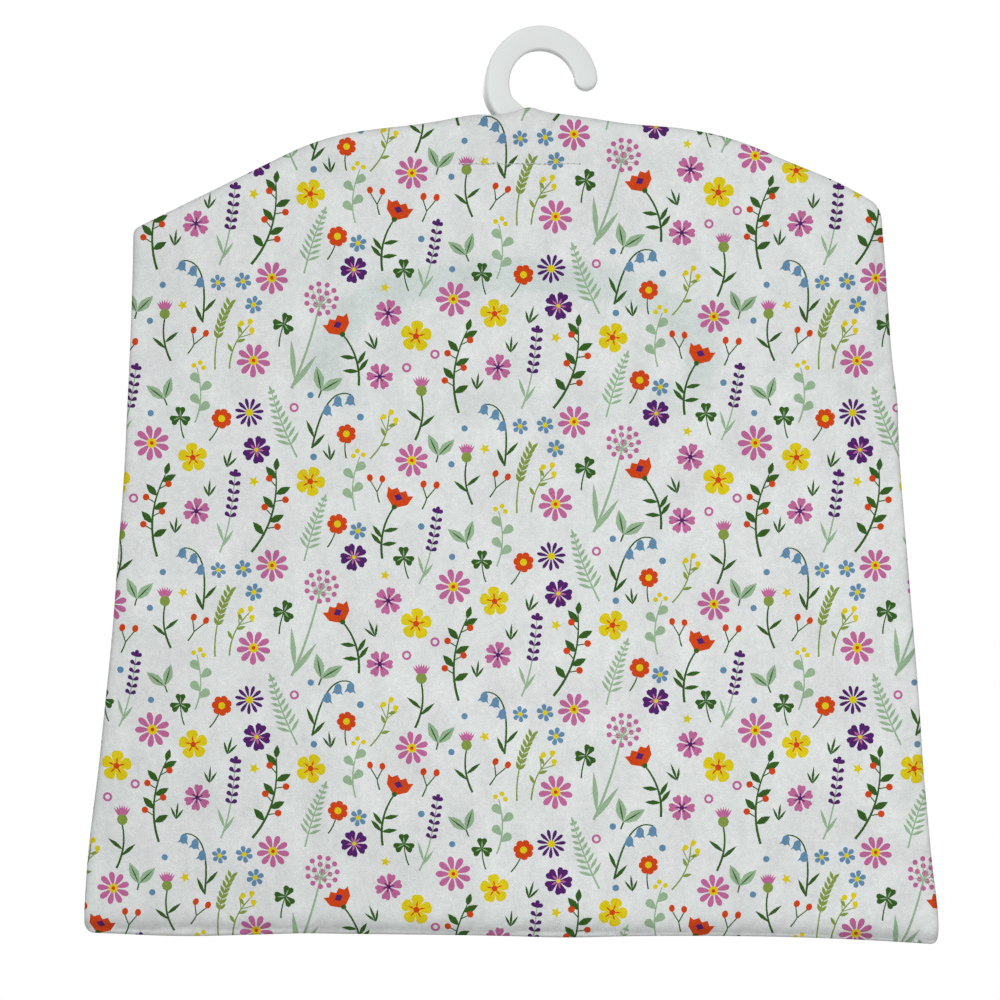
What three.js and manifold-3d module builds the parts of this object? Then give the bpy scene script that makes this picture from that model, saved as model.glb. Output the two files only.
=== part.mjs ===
// A peg bag on a child-size coat hanger, hanging from its hook.
// Millimetres, +Z up. The photographed back of the bag faces -Y and its mouth faces +Y.
// The pieces are drawn with x and z from the crown of the bag's top edge and y from the plane between
// its two panels. The whole bag is then placed so that the hook's bearing face is the origin.

import * as THREE from 'three';
import { mergeVertices } from 'three/addons/utils/BufferGeometryUtils.js';
import Module from 'manifold-3d';

const wasm = await Module();
wasm.setup();

// Clearances and cuts
const gap = 0.3; // between pieces that touch
const overrun = 20; // how far a cutting prism runs past what it cuts

// Cloth
const clothThickness = 0.8;
const bindingProud = 0.6; // how far the folded tape stands out from each face of the cloth
const bindingWidth = 13;
const threadDiameter = 0.5;

// Hanger
const hangerSpan = 272; // tip to tip
const armDepth = 11;
const armThickness = 6;
const armTipRadius = 4.5;
const armBevel = 1.5;
const hookInnerRadius = 14;
const hookBand = 10.1; // width of the flat band that the hook is made of
const hookThickness = 6.5;
const hookBevel = 1;
const hookX = 5.5; // centre of the loop, from the crown
const hookZ = 11.5;
const neckX = -7; // the upright line that the hook is turned about
const twistLow = -6; // the neck turns between these heights
const twistHigh = 3;
const hookTurn = THREE.MathUtils.degToRad(16);
const loopStep = THREE.MathUtils.degToRad(13); // turn of each facet of the loop
const loopStepsBefore = 7; // facets from the top of the loop to its tip
const loopStepsAfter = 8; // and from the top to where the loop leaves its circle
const sweepOut = 7; // reach of the sweep from the loop to the neck, at its two ends
const sweepIn = 12;
const stemLow = -14; // where the neck ends inside the arms
const sweepSteps = 8;
const armSteps = 12;
const tipSteps = 6;

// Outline of the bag, which is made to the hanger's span
const bagHeight = 338; // crown of the top edge to the bottom edge
const clearLeft = 27; // from the hanger's tip to the side, at the shoulder
const clearRight = 9;
const flareLeft = 20; // how much further out the side lies at the bottom
const flareRight = 23;
const bottomFall = 3.5; // the bottom edge hangs lower at its right end
const crownHalfWidth = 75; // the flat hump over the middle of the hanger
const crownDrop = 8.25; // fall of the top edge over half the hump
const crownEase = 25; // where the hump turns into the shoulder's slope
const shoulderSlopeShare = 0.49; // fall of the shoulder for its run
const leftBowShare = 1.5; // above 1 the left side is straight at the top and flares below
const fallShare = 3; // above 1 the bottom edge falls near its end only

// Turned-in seam allowances, which lie between the two panels
const seamThickness = 1;
const seamWidth = 6.5;
const seamSteps = 12;

// Room between the panels, for the arms and for the hook's neck
const topRampStart = 3.5; // distance from the top edge where the panels part
const topRampEnd = 8; // and where they stand clear of the arms
const sideRampStart = 1.5;
const sideRampEnd = 7;
const armRoomDepth = 24; // the arms' room goes down to here
const roomFade = 60; // and closes over this distance
const neckRoom = 6.2; // extra depth at the hook's gap in the top seam
const gapLeft = -35; // ends of the gap in the top seam
const gapRight = 18;
const gapWideLeft = -21; // the gap stands fully open between these
const gapWideRight = 4;

// Belly of the bag
const frontBelly = 14;
const rearBelly = 2;
const sideReach = 80; // the belly is full this far from a side
const bottomReach = 75; // and this far from the bottom

// Mouth: a flat oval, higher above its widest line than below
const mouthX = -6;
const mouthZ = -108; // its widest line
const mouthHalfWidth = 84;
const mouthRise = 46; // outer edge of the binding, above the widest line
const mouthDrop = 21; // and below it
const mouthFullnessShare = 2.5; // 2 is an ellipse, more is fuller in the corners
const mouthSteps = 56;
const topStitchInset = 2; // from the binding's outer edge

// Keeper stitching, the short row under the hanger's middle
const keeperX = -3;
const keeperZ = -21.8;
const keeperLength = 50.5;

const clothWhite = 0xd6dbda;
const bindingGreen = 0x5b9a7c;
const threadGrey = 0x8b9a94;
const plasticWhite = 0xdadddc;

// Worked out from the sizes above
const shoulderLeft = hangerSpan / 2 + clearLeft; // from the crown
const shoulderRight = hangerSpan / 2 + clearRight;
const bottomLeft = shoulderLeft + flareLeft;
const bottomRight = shoulderRight + flareRight;
const seamRoom = seamThickness / 2 + gap; // inner face of each panel at its edges
const armRoom = armThickness / 2 + gap - seamRoom + gap;
const hookOuterRadius = hookInnerRadius + hookBand;
const hookMidRadius = hookInnerRadius + hookBand / 2;
const armTop = seamWidth + gap; // below the bag's top edge
const turned = hookX - neckX;
const seat = new THREE.Vector3(
  neckX + turned * Math.cos(hookTurn),
  turned * Math.sin(hookTurn),
  hookZ + hookInnerRadius,
);

// 0 to 1 as value goes from low to high, straight or eased at both ends
const ramp = (value, low, high) => THREE.MathUtils.clamp((value - low) / (high - low), 0, 1);
const ease = (value, low, high) => THREE.MathUtils.smoothstep(value, low, high);

// Values spread evenly from low to high, in count steps
const between = (low, high, count) =>
  Array.from({ length: count + 1 }, (unused, i) => THREE.MathUtils.lerp(low, high, i / count));

// Height of the bag's top edge, a flat hump that turns into two sloping shoulders
function topEdge(x) {
  const away = Math.abs(x);
  if (away <= crownHalfWidth) {
    return -crownDrop * (away / crownHalfWidth) ** 2;
  }
  const humpSlope = (2 * crownDrop) / crownHalfWidth;
  const eased = Math.min(away - crownHalfWidth, crownEase);
  const beyond = away - crownHalfWidth - eased;
  const turn = ((shoulderSlopeShare - humpSlope) * eased ** 2) / (2 * crownEase);
  return -crownDrop - humpSlope * eased - turn - shoulderSlopeShare * beyond;
}

function bottomEdge(x) {
  return -bagHeight - bottomFall * Math.max(x / bottomRight, 0) ** fallShare;
}

function leftEdge(z) {
  const down = ramp(-z, -topEdge(shoulderLeft), bagHeight);
  return -THREE.MathUtils.lerp(shoulderLeft, bottomLeft, down ** leftBowShare);
}

function rightEdge(z) {
  const down = ramp(-z, -topEdge(shoulderRight), bagHeight);
  return THREE.MathUtils.lerp(shoulderRight, bottomRight, down);
}

// Room that the hanger needs between the mid-plane and a panel, beyond the seam's own
function hangerRoom(x, z) {
  const side = Math.min(x - leftEdge(z), rightEdge(z) - x);
  const top = topEdge(x) - z;
  const closing = 1 - ease(top, armRoomDepth, armRoomDepth + roomFade);
  const arms = armRoom * ramp(top, topRampStart, topRampEnd) * ramp(side, sideRampStart, sideRampEnd);
  const open = ramp(x, gapLeft, gapWideLeft) * ramp(-x, -gapRight, -gapWideRight);
  const neck = neckRoom * open * (1 - ramp(top, topRampEnd, armRoomDepth));
  return Math.max(arms * closing, neck);
}

function belly(x, z) {
  const side = Math.min(x - leftEdge(z), rightEdge(z) - x);
  const top = topEdge(x) - z;
  const bottom = z - bottomEdge(x);
  const across = ease(side, 0, sideReach) * ease(bottom, 0, bottomReach);
  return across * ease(top, armRoomDepth, armRoomDepth + roomFade);
}

const frontInner = (x, z) => seamRoom + hangerRoom(x, z) + frontBelly * belly(x, z);
const frontOuter = (x, z) => frontInner(x, z) + clothThickness;
const rearInner = (x, z) => -seamRoom - hangerRoom(x, z) - rearBelly * belly(x, z);
const rearOuter = (x, z) => rearInner(x, z) - clothThickness;

// Columns and rows of a panel's grid: close together where the cloth turns
const sideShares = [0.25, 0.5, 0.75, 1];
const fadeShares = [0.25, 0.5, 0.75, 1];
const bottomShares = [0.12, 0.3, 0.5, 0.75, 1];
const middleShares = [0.25, 0.5, 0.75];
const gapShares = [0, 0.33, 0.66, 1];
const middleRows = 3;

const fromSide = [0, sideRampStart, sideRampEnd, ...sideShares.map((share) => share * sideReach)];
const fromTop = [
  0,
  topRampStart,
  topRampEnd,
  armRoomDepth,
  ...fadeShares.map((share) => armRoomDepth + share * roomFade),
];
const fromBottom = [0, ...bottomShares.map((share) => share * bottomReach)];

function columnsAt(z) {
  const left = fromSide.map((offset) => leftEdge(z) + offset);
  const right = fromSide.map((offset) => rightEdge(z) - offset).reverse();
  const opening = gapShares.map((share) => THREE.MathUtils.lerp(gapWideLeft, gapWideRight, share));
  const innerLeft = left[left.length - 1];
  const leftFill = middleShares.map((share) => THREE.MathUtils.lerp(innerLeft, gapLeft, share));
  const rightFill = middleShares.map((share) => THREE.MathUtils.lerp(gapRight, right[0], share));
  return [...left, ...leftFill, gapLeft, ...opening, gapRight, ...rightFill, ...right];
}

function heightOfRow(row, x) {
  if (row < fromBottom.length) {
    return bottomEdge(x) + fromBottom[row];
  }
  const middle = row - fromBottom.length;
  const low = bottomEdge(x) + fromBottom[fromBottom.length - 1];
  const high = topEdge(x) - fromTop[fromTop.length - 1];
  if (middle < middleRows) {
    return THREE.MathUtils.lerp(low, high, (middle + 1) / (middleRows + 1));
  }
  return topEdge(x) - fromTop[fromTop.length - 1 - (middle - middleRows)];
}

// The panel's grid: its places in the plane, row by row from the bottom
function panelPlaces() {
  const rows = fromBottom.length + middleRows + fromTop.length;
  const places = [];
  for (let row = 0; row < rows; row += 1) {
    const level = heightOfRow(row, 0);
    const spread = columnsAt(level).map((x) => columnsAt(heightOfRow(row, x)));
    places.push(spread.map((columns, column) => {
      const x = columns[column];
      return [x, heightOfRow(row, x)];
    }));
  }
  return places;
}

// A closed body between two depths over a grid of places in the plane
function sheetGeometry(places, lowDepth, highDepth) {
  const rows = places.length;
  const columns = places[0].length;
  const flat = places.flat();
  const low = flat.flatMap(([x, z]) => [x, lowDepth(x, z), z]);
  const high = flat.flatMap(([x, z]) => [x, highDepth(x, z), z]);
  const at = (row, column) => row * columns + column;
  const index = [];
  const quad = (a, b, c, d) => index.push(a, b, c, a, c, d);
  for (let row = 0; row + 1 < rows; row += 1) {
    for (let column = 0; column + 1 < columns; column += 1) {
      const corners = [
        at(row, column),
        at(row, column + 1),
        at(row + 1, column + 1),
        at(row + 1, column),
      ];
      const lifted = corners.map((corner) => corner + flat.length).reverse();
      quad(...corners);
      quad(...lifted);
    }
  }
  const rim = [];
  for (let column = 0; column < columns; column += 1) {
    rim.push(at(0, column));
  }
  for (let row = 1; row < rows; row += 1) {
    rim.push(at(row, columns - 1));
  }
  for (let column = columns - 2; column >= 0; column -= 1) {
    rim.push(at(rows - 1, column));
  }
  for (let row = rows - 2; row > 0; row -= 1) {
    rim.push(at(row, 0));
  }
  rim.forEach((corner, i) => {
    const next = rim[(i + 1) % rim.length];
    quad(next, corner, corner + flat.length, next + flat.length);
  });
  const geometry = new THREE.BufferGeometry();
  geometry.setAttribute('position', new THREE.Float32BufferAttribute([...low, ...high], 3));
  geometry.setIndex(index);
  return geometry;
}

function solidOf(geometry) {
  const bare = geometry.clone();
  bare.deleteAttribute('normal');
  bare.deleteAttribute('uv');
  const merged = mergeVertices(bare);
  return new wasm.Manifold(new wasm.Mesh({
    numProp: 3,
    vertProperties: new Float32Array(merged.attributes.position.array),
    triVerts: new Uint32Array(merged.index.array),
  }));
}

function geometryOf(solid) {
  const mesh = solid.getMesh();
  const geometry = new THREE.BufferGeometry();
  geometry.setAttribute('position', new THREE.Float32BufferAttribute(mesh.vertProperties, 3));
  geometry.setIndex([...mesh.triVerts]);
  return geometry;
}

const shapeOf = (places) => new THREE.Shape(places.map(([x, z]) => new THREE.Vector2(x, z)));

// A shape drawn in x and z, extruded in y between two depths
function prismGeometry(places, near, far) {
  const geometry = new THREE.ExtrudeGeometry(shapeOf(places), {
    depth: far - near,
    bevelEnabled: false,
  });
  geometry.rotateX(Math.PI / 2);
  geometry.translate(0, far, 0);
  return geometry;
}

// The same, with its corners eased by a bevel and its middle at y = 0
function mouldedGeometry(places, thickness, bevel) {
  const geometry = new THREE.ExtrudeGeometry(shapeOf(places), {
    depth: thickness - 2 * bevel,
    bevelThickness: bevel,
    bevelSize: bevel,
    bevelOffset: -bevel,
    bevelSegments: 1,
  });
  geometry.rotateX(Math.PI / 2);
  geometry.translate(0, thickness / 2 - bevel, 0);
  return geometry;
}

const rectangle = (left, right, low, high) => [
  [left, low],
  [right, low],
  [right, high],
  [left, high],
];

// The oval of the mouth, with its edge moved in by inset (out where that is negative)
function mouthOutline(inset) {
  const power = 2 / mouthFullnessShare;
  return Array.from({ length: mouthSteps }, (unused, i) => {
    const angle = (2 * Math.PI * i) / mouthSteps;
    const across = Math.cos(angle);
    const up = Math.sin(angle);
    const reach = (up > 0 ? mouthRise : mouthDrop) - inset;
    return [
      mouthX + (mouthHalfWidth - inset) * Math.sign(across) * Math.abs(across) ** power,
      mouthZ + reach * Math.sign(up) * Math.abs(up) ** power,
    ];
  });
}

// Directions from the loop's centre to the corners of its facets, from the tip to the sweep. A facet
// lies level at the top.
function loopAngles() {
  const count = loopStepsBefore + loopStepsAfter + 1;
  return Array.from({ length: count }, (unused, i) => {
    const stepsPastTop = i - loopStepsBefore + 1 / 2;
    return Math.PI / 2 + stepsPastTop * loopStep;
  });
}

// Outline of the band: the outer side, then the inner side back to the tip, then the round tip. The
// facets touch the two circles of the loop, so the level one inside lies at the inner radius.
function hookOutline() {
  const angles = loopAngles();
  const facet = Math.cos(loopStep / 2);
  const half = hookBand / 2;
  const onCircle = (radius, angle) => [
    hookX + radius * Math.cos(angle),
    hookZ + radius * Math.sin(angle),
  ];
  const last = angles[angles.length - 1];
  const start = new THREE.Vector2(...onCircle(hookMidRadius, last));
  const heading = new THREE.Vector2(-Math.sin(last), Math.cos(last));
  const sweep = new THREE.CubicBezierCurve(
    start,
    start.clone().addScaledVector(heading, sweepOut),
    new THREE.Vector2(0, stemLow + sweepIn),
    new THREE.Vector2(0, stemLow),
  );
  const besideSweep = (offset) => Array.from({ length: sweepSteps }, (unused, i) => {
    const share = (i + 1) / sweepSteps;
    const place = sweep.getPoint(share);
    const tangent = sweep.getTangent(share);
    return [place.x + offset * tangent.y, place.y - offset * tangent.x];
  });
  const [tipX, tipZ] = onCircle(hookMidRadius, angles[0]);
  const tip = Array.from({ length: tipSteps - 1 }, (unused, i) => {
    const direction = angles[0] - Math.PI + (Math.PI * (i + 1)) / tipSteps;
    return [tipX + half * Math.cos(direction), tipZ + half * Math.sin(direction)];
  });
  const outer = angles.map((angle) => onCircle(hookOuterRadius / facet, angle));
  const inner = angles.map((angle) => onCircle(hookInnerRadius / facet, angle));
  return [
    ...outer,
    ...besideSweep(half),
    ...[...inner, ...besideSweep(-half)].reverse(),
    ...tip,
  ];
}

// Turns the hook about the neck's upright line, with the turn fading out down the neck
function turnHook(geometry) {
  const position = geometry.attributes.position;
  for (let i = 0; i < position.count; i += 1) {
    const angle = hookTurn * ease(position.getZ(i), twistLow, twistHigh);
    const x = position.getX(i) - neckX;
    const y = position.getY(i);
    position.setX(i, neckX + x * Math.cos(angle) - y * Math.sin(angle));
    position.setY(i, x * Math.sin(angle) + y * Math.cos(angle));
  }
  return geometry;
}

// Outline of the two arms, which follow the bag's top edge and end in round tips
function armOutline() {
  const reach = hangerSpan / 2 - armTipRadius;
  const stations = between(-reach, reach, 2 * armSteps);
  const under = stations.map((x) => [x, topEdge(x) - armTop - armDepth]);
  const top = stations.map((x) => [x, topEdge(x) - armTop]).reverse();
  const tip = (side) => Array.from({ length: tipSteps - 1 }, (unused, i) => {
    const direction = (Math.PI * (i + 1)) / tipSteps - Math.PI / 2;
    const x = side * (reach + armTipRadius * Math.cos(direction));
    const middle = topEdge(x) - armTop - armDepth / 2;
    return [x, middle + side * (armDepth / 2) * Math.sin(direction)];
  });
  return [...under, ...tip(1), ...top, ...tip(-1)];
}

function hangerGeometry() {
  const arms = solidOf(mouldedGeometry(armOutline(), armThickness, armBevel));
  const hook = solidOf(turnHook(mouldedGeometry(hookOutline(), hookThickness, hookBevel)));
  return geometryOf(arms.add(hook));
}

// A turned-in allowance: a thin strip over rows of places, the lowest row first
function seamGeometry(places) {
  return sheetGeometry(places, () => -seamThickness / 2, () => seamThickness / 2);
}

function shoulderSeamGeometry(low, high) {
  const stations = between(low, high, seamSteps);
  return seamGeometry([
    stations.map((x) => [x, topEdge(x) - seamWidth]),
    stations.map((x) => [x, topEdge(x)]),
  ]);
}

function bottomSeamGeometry() {
  const beside = seamWidth + gap;
  const upper = seamWidth - bagHeight;
  const stations = between(leftEdge(upper) + beside, rightEdge(upper) - beside, seamSteps);
  return seamGeometry([
    stations.map((x) => [x, bottomEdge(x)]),
    stations.map((x) => [x, bottomEdge(x) + seamWidth]),
  ]);
}

function leftSeamGeometry() {
  const levels = between(-bagHeight, topEdge(shoulderLeft), seamSteps);
  return seamGeometry(levels.map((z) => [[leftEdge(z), z], [leftEdge(z) + seamWidth, z]]));
}

function rightSeamGeometry() {
  const levels = between(-bagHeight, topEdge(shoulderRight), seamSteps);
  return seamGeometry(levels.map((z) => [[rightEdge(z) - seamWidth, z], [rightEdge(z), z]]));
}

const panelGrid = panelPlaces();
const lipLeft = mouthX - mouthHalfWidth;
const lipRight = mouthX + mouthHalfWidth;
const lipFloor = -bagHeight - overrun;

function rearPanelGeometry() {
  return sheetGeometry(panelGrid, rearOuter, rearInner);
}

const frontSheet = solidOf(sheetGeometry(panelGrid, frontInner, frontOuter));
const throughFront = (places) => solidOf(prismGeometry(places, -overrun, frontBelly + overrun));

// The front panel round the mouth, without the part under it that swings out
function frontPanelGeometry() {
  const mouth = throughFront(mouthOutline(-gap));
  const lip = throughFront(rectangle(lipLeft - gap, lipRight + gap, lipFloor, mouthZ));
  return geometryOf(frontSheet.subtract(mouth).subtract(lip));
}

function lipPanelGeometry() {
  const lip = throughFront(rectangle(lipLeft, lipRight, lipFloor, mouthZ));
  const mouth = throughFront(mouthOutline(-gap));
  return geometryOf(frontSheet.intersect(lip).subtract(mouth));
}

// The tape round the mouth: the part of its ring between two heights
function bindingGeometry(low, high) {
  const thick = solidOf(sheetGeometry(
    panelGrid,
    (x, z) => frontInner(x, z) - bindingProud,
    (x, z) => frontOuter(x, z) + bindingProud,
  ));
  const ring = throughFront(mouthOutline(0)).subtract(throughFront(mouthOutline(bindingWidth)));
  const part = throughFront(rectangle(lipLeft - overrun, lipRight + overrun, low, high));
  return geometryOf(thick.intersect(ring).intersect(part));
}

// A run of top stitching on the binding, as one thread laid on the tape
function topStitchGeometry(places) {
  const proud = bindingProud + gap + threadDiameter / 2;
  const line = new THREE.CatmullRomCurve3(
    places.map(([x, z]) => new THREE.Vector3(x, frontOuter(x, z) + proud, z)),
  );
  const section = new THREE.Shape();
  section.absarc(0, 0, threadDiameter / 2, 0, 2 * Math.PI);
  return new THREE.ExtrudeGeometry(section, {
    extrudePath: line,
    steps: 2 * places.length,
    curveSegments: 3,
    bevelEnabled: false,
  });
}

const stitchLine = mouthOutline(topStitchInset);
const halfway = mouthSteps / 2;

function keeperGeometry() {
  const depth = 2 * (seamRoom + armRoom - gap);
  return new THREE.BoxGeometry(keeperLength, depth, threadDiameter);
}

function materialOf(color, roughness) {
  return new THREE.MeshStandardMaterial({ color, roughness, metalness: 0 });
}

const cloth = { color: clothWhite, roughness: 0.9 };
const tape = { color: bindingGreen, roughness: 0.85 };
const thread = { color: threadGrey, roughness: 0.8 };
const plastic = { color: plasticWhite, roughness: 0.42 };

function piece(name, geometry, { color, roughness }) {
  const mesh = new THREE.Mesh(geometry, materialOf(color, roughness));
  mesh.name = name;
  return mesh;
}

const bag = new THREE.Group();
const besideLeft = leftEdge(topEdge(shoulderLeft)) + seamWidth + gap;
const besideRight = rightEdge(topEdge(shoulderRight)) - seamWidth - gap;

bag.add(
  piece('hanger', hangerGeometry(), plastic),
  piece('rear_panel', rearPanelGeometry(), cloth),
  piece('front_panel', frontPanelGeometry(), cloth),
  piece('front_lip_panel', lipPanelGeometry(), cloth),
  piece('mouth_binding_arch', bindingGeometry(mouthZ + gap / 2, 0), tape),
  piece('mouth_binding_lip', bindingGeometry(lipFloor, mouthZ - gap / 2), tape),
  piece('side_seam_left', leftSeamGeometry(), cloth),
  piece('side_seam_right', rightSeamGeometry(), cloth),
  piece('bottom_seam', bottomSeamGeometry(), cloth),
  piece('shoulder_seam_left', shoulderSeamGeometry(besideLeft, gapLeft), cloth),
  piece('shoulder_seam_right', shoulderSeamGeometry(gapRight, besideRight), cloth),
  piece('binding_stitching_arch', topStitchGeometry(stitchLine.slice(1, halfway)), thread),
  piece('binding_stitching_lip', topStitchGeometry(stitchLine.slice(halfway + 1)), thread),
);

const keeper = piece('keeper_stitching', keeperGeometry(), thread);
keeper.position.set(keeperX, 0, keeperZ);
bag.add(keeper);

bag.position.copy(seat).negate();

export default bag;
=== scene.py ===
"""The looks of a child-size peg bag on its hanger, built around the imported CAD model.

Lengths are in millimetres and places in the bag's own coordinates, as in the part's source: x and z
from the crown of the top edge, y from the plane between the two cloths. placed() takes them to the
frame, in metres. The rear cloth, which the camera sees, faces -Y, and the mouth faces +Y.
"""

import math
import random

import bmesh
import bpy
import numpy as np
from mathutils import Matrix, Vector
from mathutils.geometry import delaunay_2d_cdt


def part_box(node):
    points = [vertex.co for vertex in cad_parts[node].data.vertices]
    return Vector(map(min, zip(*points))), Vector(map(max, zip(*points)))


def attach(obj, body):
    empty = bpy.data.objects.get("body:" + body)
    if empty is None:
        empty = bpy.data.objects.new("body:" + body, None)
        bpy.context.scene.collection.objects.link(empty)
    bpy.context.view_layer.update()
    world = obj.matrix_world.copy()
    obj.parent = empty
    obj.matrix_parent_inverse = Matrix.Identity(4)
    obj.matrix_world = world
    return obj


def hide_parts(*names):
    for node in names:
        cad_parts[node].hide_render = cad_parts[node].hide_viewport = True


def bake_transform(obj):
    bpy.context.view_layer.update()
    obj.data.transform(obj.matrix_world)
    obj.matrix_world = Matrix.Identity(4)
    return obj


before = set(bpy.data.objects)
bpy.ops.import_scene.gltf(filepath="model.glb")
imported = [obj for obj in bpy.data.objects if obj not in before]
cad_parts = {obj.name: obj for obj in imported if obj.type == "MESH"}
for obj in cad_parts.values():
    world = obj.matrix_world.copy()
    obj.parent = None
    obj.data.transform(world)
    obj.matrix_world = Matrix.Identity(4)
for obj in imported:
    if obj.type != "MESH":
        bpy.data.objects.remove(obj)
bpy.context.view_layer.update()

MM = 0.001
REAR, FRONT = -1, 1  # the way that each cloth faces, along y

# Outline of the bag
BAG_HEIGHT = 338.0
SHOULDER_LEFT, SHOULDER_RIGHT = 163.0, 145.0  # crown to each side, at the shoulder
BOTTOM_LEFT, BOTTOM_RIGHT = 183.0, 168.0
BOTTOM_FALL, FALL_SHARE = 3.5, 3
CROWN_HALF_WIDTH, CROWN_DROP, CROWN_EASE = 75.0, 8.25, 25.0
SHOULDER_SLOPE_SHARE = 0.49
LEFT_BOW_SHARE = 1.5
CORNER_RADII = (4.5, 3.0, 6.0, 2.5)  # lower left, lower right, upper right, upper left
EDGE_STEP = 2.5
SHORTEST_SQUARED = 1e-9  # of an edge

# How far the sewn edges stray from their lines: all along, then (place, reach, distance) of each swell
TOP_STRAY = (-0.6, (-46, 20, -1.5), (40, 19, -1.8), (128, 20, 2.1))
BOTTOM_STRAY = (-1.65, (-145, 30, -1.2), (-110, 60, -0.5), (-92, 14, 0.3), (16, 20, -0.6))
LEFT_STRAY = (0.5, (-308, 45, -3.1), (-246, 24, -0.6), (-150, 20, 0.3))
RIGHT_STRAY = (0.15, (-330, 16, 1.0), (-270, 20, -0.4), (-120, 14, 0.9))
NECK_STRAY = (0.0, (0.4, 5, 1.9), (-13, 6, -0.9))  # of the rear cloth, which the hook's neck lifts

# Cloth
CLOTH = 0.6
SEAM_ROOM = 0.8  # inner face of each cloth from the mid-plane, at the edges
SEAM_ROUND = 2.0  # radius of the turned edge
SEAM_LIP = 0.14  # the two cloths all but meet in the seam
GRID_STEP = 4.0
EDGE_ROWS = (0.25, 0.6, 1.1, 1.8, 3.0, 4.6, 6.6, 9.0)  # rows of points beside the turned edge
ROLL_LEAST_SHARE = 0.15

# Hanger
HANGER_SPAN = 272.0
ARM_TOP = 6.8  # below the bag's top edge
ARM_DEPTH, ARM_THICKNESS, ARM_TIP, ARM_ROUND = 11.0, 6.0, 4.5, 1.8
HOOK_X, HOOK_Z, HOOK_RADIUS = 5.5, 11.5, 19.05  # centre of the loop and middle of its band
HOOK_BAND, HOOK_THICKNESS, HOOK_ROUND = 10.1, 6.5, 1.25
LOOP_FROM, LOOP_TO = math.radians(9), math.radians(200.5)
SWEEP_OUT, SWEEP_IN, STEM_LOW = 7.0, 12.0, -14.0
NECK_X, TWIST_LOW, TWIST_HIGH = -7.0, -8.0, 1.0
HOOK_TURN = math.radians(11)
HOOK_ROLL = math.radians(20)  # of the band on the left, easing to none at the tip
ROLL_EASE = (-12.0, 20.0)

# Room in the bag for the hanger, and the gap in the top seam for its neck
ARM_ROOM = 2.8
TOP_RAMP, LEFT_RAMP, RIGHT_RAMP = (0.0, 9.5), (2.0, 24.0), (1.5, 7.0)  # distances from each edge
ARM_ROOM_DEPTH, ROOM_FADE = 24.0, 60.0
NECK_LEFT, NECK_RIGHT = (-35.0, -21.0), (-18.0, -4.0)
NECK_ROOM = {REAR: 4.0, FRONT: 6.2}
NECK_DEPTH = (8.0, 24.0)
NECK_GAP_END, NECK_GAP_DEPTH = (-3, 4), (2, 8)  # where the gap eases into the sewn seam
ROOM_JOIN = 0.5  # softens the line where the arms' room meets the neck's
BELLY = {REAR: 2.0, FRONT: 14.0}
SIDE_REACH, BOTTOM_REACH = 80.0, 75.0

# Mouth and its binding
MOUTH_X, MOUTH_Z = -6.0, -108.0
MOUTH_HALF_WIDTH, MOUTH_RISE, MOUTH_DROP = 84.0, 46.0, 21.0
MOUTH_FULLNESS_SHARE = 2.5
BINDING_WIDTH = 13.0
MOUTH_STEPS = 96

# Keeper stitching under the hanger's middle
KEEPER_X, KEEPER_Z, KEEPER_LENGTH = -3.0, -21.8, 50.5
KEEPER_PITCH, KEEPER_UNEVEN, KEEPER_THREAD = 2.35, 0.14, 0.2
KEEPER_STITCH = (0.14, 0.86)  # where a stitch starts and ends between two of the needle's marks
# Radii of the painted shadow in each needle hole
NEEDLE_SHADOW_SIZES = (0.3, 0.48)

keeper_low, keeper_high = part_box("keeper_stitching")
BAG_PLACE = (keeper_low + keeper_high) / 2 - Vector((KEEPER_X, 0, KEEPER_Z)) * MM


def placed(points):
    return np.asarray(points, float) * MM + np.array(BAG_PLACE)


def smooth(value, low, high):
    share = np.clip((value - low) / (high - low), 0, 1)
    return share * share * (3 - 2 * share)


def bend(start, through, end, count=7):
    """Points along a curve that leaves start and reaches end in the direction of through."""
    shares = np.linspace(0, 1, count)[:, None]
    start, through, end = (np.array(p, float) for p in (start, through, end))
    return (1 - shares) ** 2 * start + 2 * shares * (1 - shares) * through + shares**2 * end


def top_edge(x):
    away = np.abs(x)
    hump_slope = 2 * CROWN_DROP / CROWN_HALF_WIDTH
    past = np.maximum(away - CROWN_HALF_WIDTH, 0)
    eased = np.minimum(past, CROWN_EASE)
    turn = (SHOULDER_SLOPE_SHARE - hump_slope) * eased**2 / (2 * CROWN_EASE)
    hump = CROWN_DROP * np.minimum(away / CROWN_HALF_WIDTH, 1) ** 2
    return -hump - hump_slope * eased - turn - SHOULDER_SLOPE_SHARE * (past - eased)


def bottom_edge(x):
    return -BAG_HEIGHT - BOTTOM_FALL * np.maximum(x / BOTTOM_RIGHT, 0) ** FALL_SHARE


def down_share(z, corner):
    return np.clip((-z + top_edge(corner)) / (BAG_HEIGHT + top_edge(corner)), 0, 1)


def left_edge(z):
    down = down_share(z, SHOULDER_LEFT) ** LEFT_BOW_SHARE
    return -SHOULDER_LEFT - (BOTTOM_LEFT - SHOULDER_LEFT) * down


def right_edge(z):
    return SHOULDER_RIGHT + (BOTTOM_RIGHT - SHOULDER_RIGHT) * down_share(z, SHOULDER_RIGHT)


# Outlines of the cloths


def swell(place, stray):
    always, *swells = stray
    return always + sum(height * np.exp(-(((place - at) / reach) ** 2)) for at, reach, height in swells)


def sewn_top(x, face=FRONT):
    neck = swell(x, NECK_STRAY) if face == REAR else 0
    return top_edge(x) + swell(x, TOP_STRAY) + neck


def sewn_bottom(x):
    return bottom_edge(x) + swell(x, BOTTOM_STRAY)


def sewn_left(z):
    return left_edge(z) + swell(z, LEFT_STRAY)


def sewn_right(z):
    return right_edge(z) + swell(z, RIGHT_STRAY)


def spread(low, high):
    return np.linspace(low, high, max(2, int(abs(high - low) / EDGE_STEP) + 1))


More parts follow.
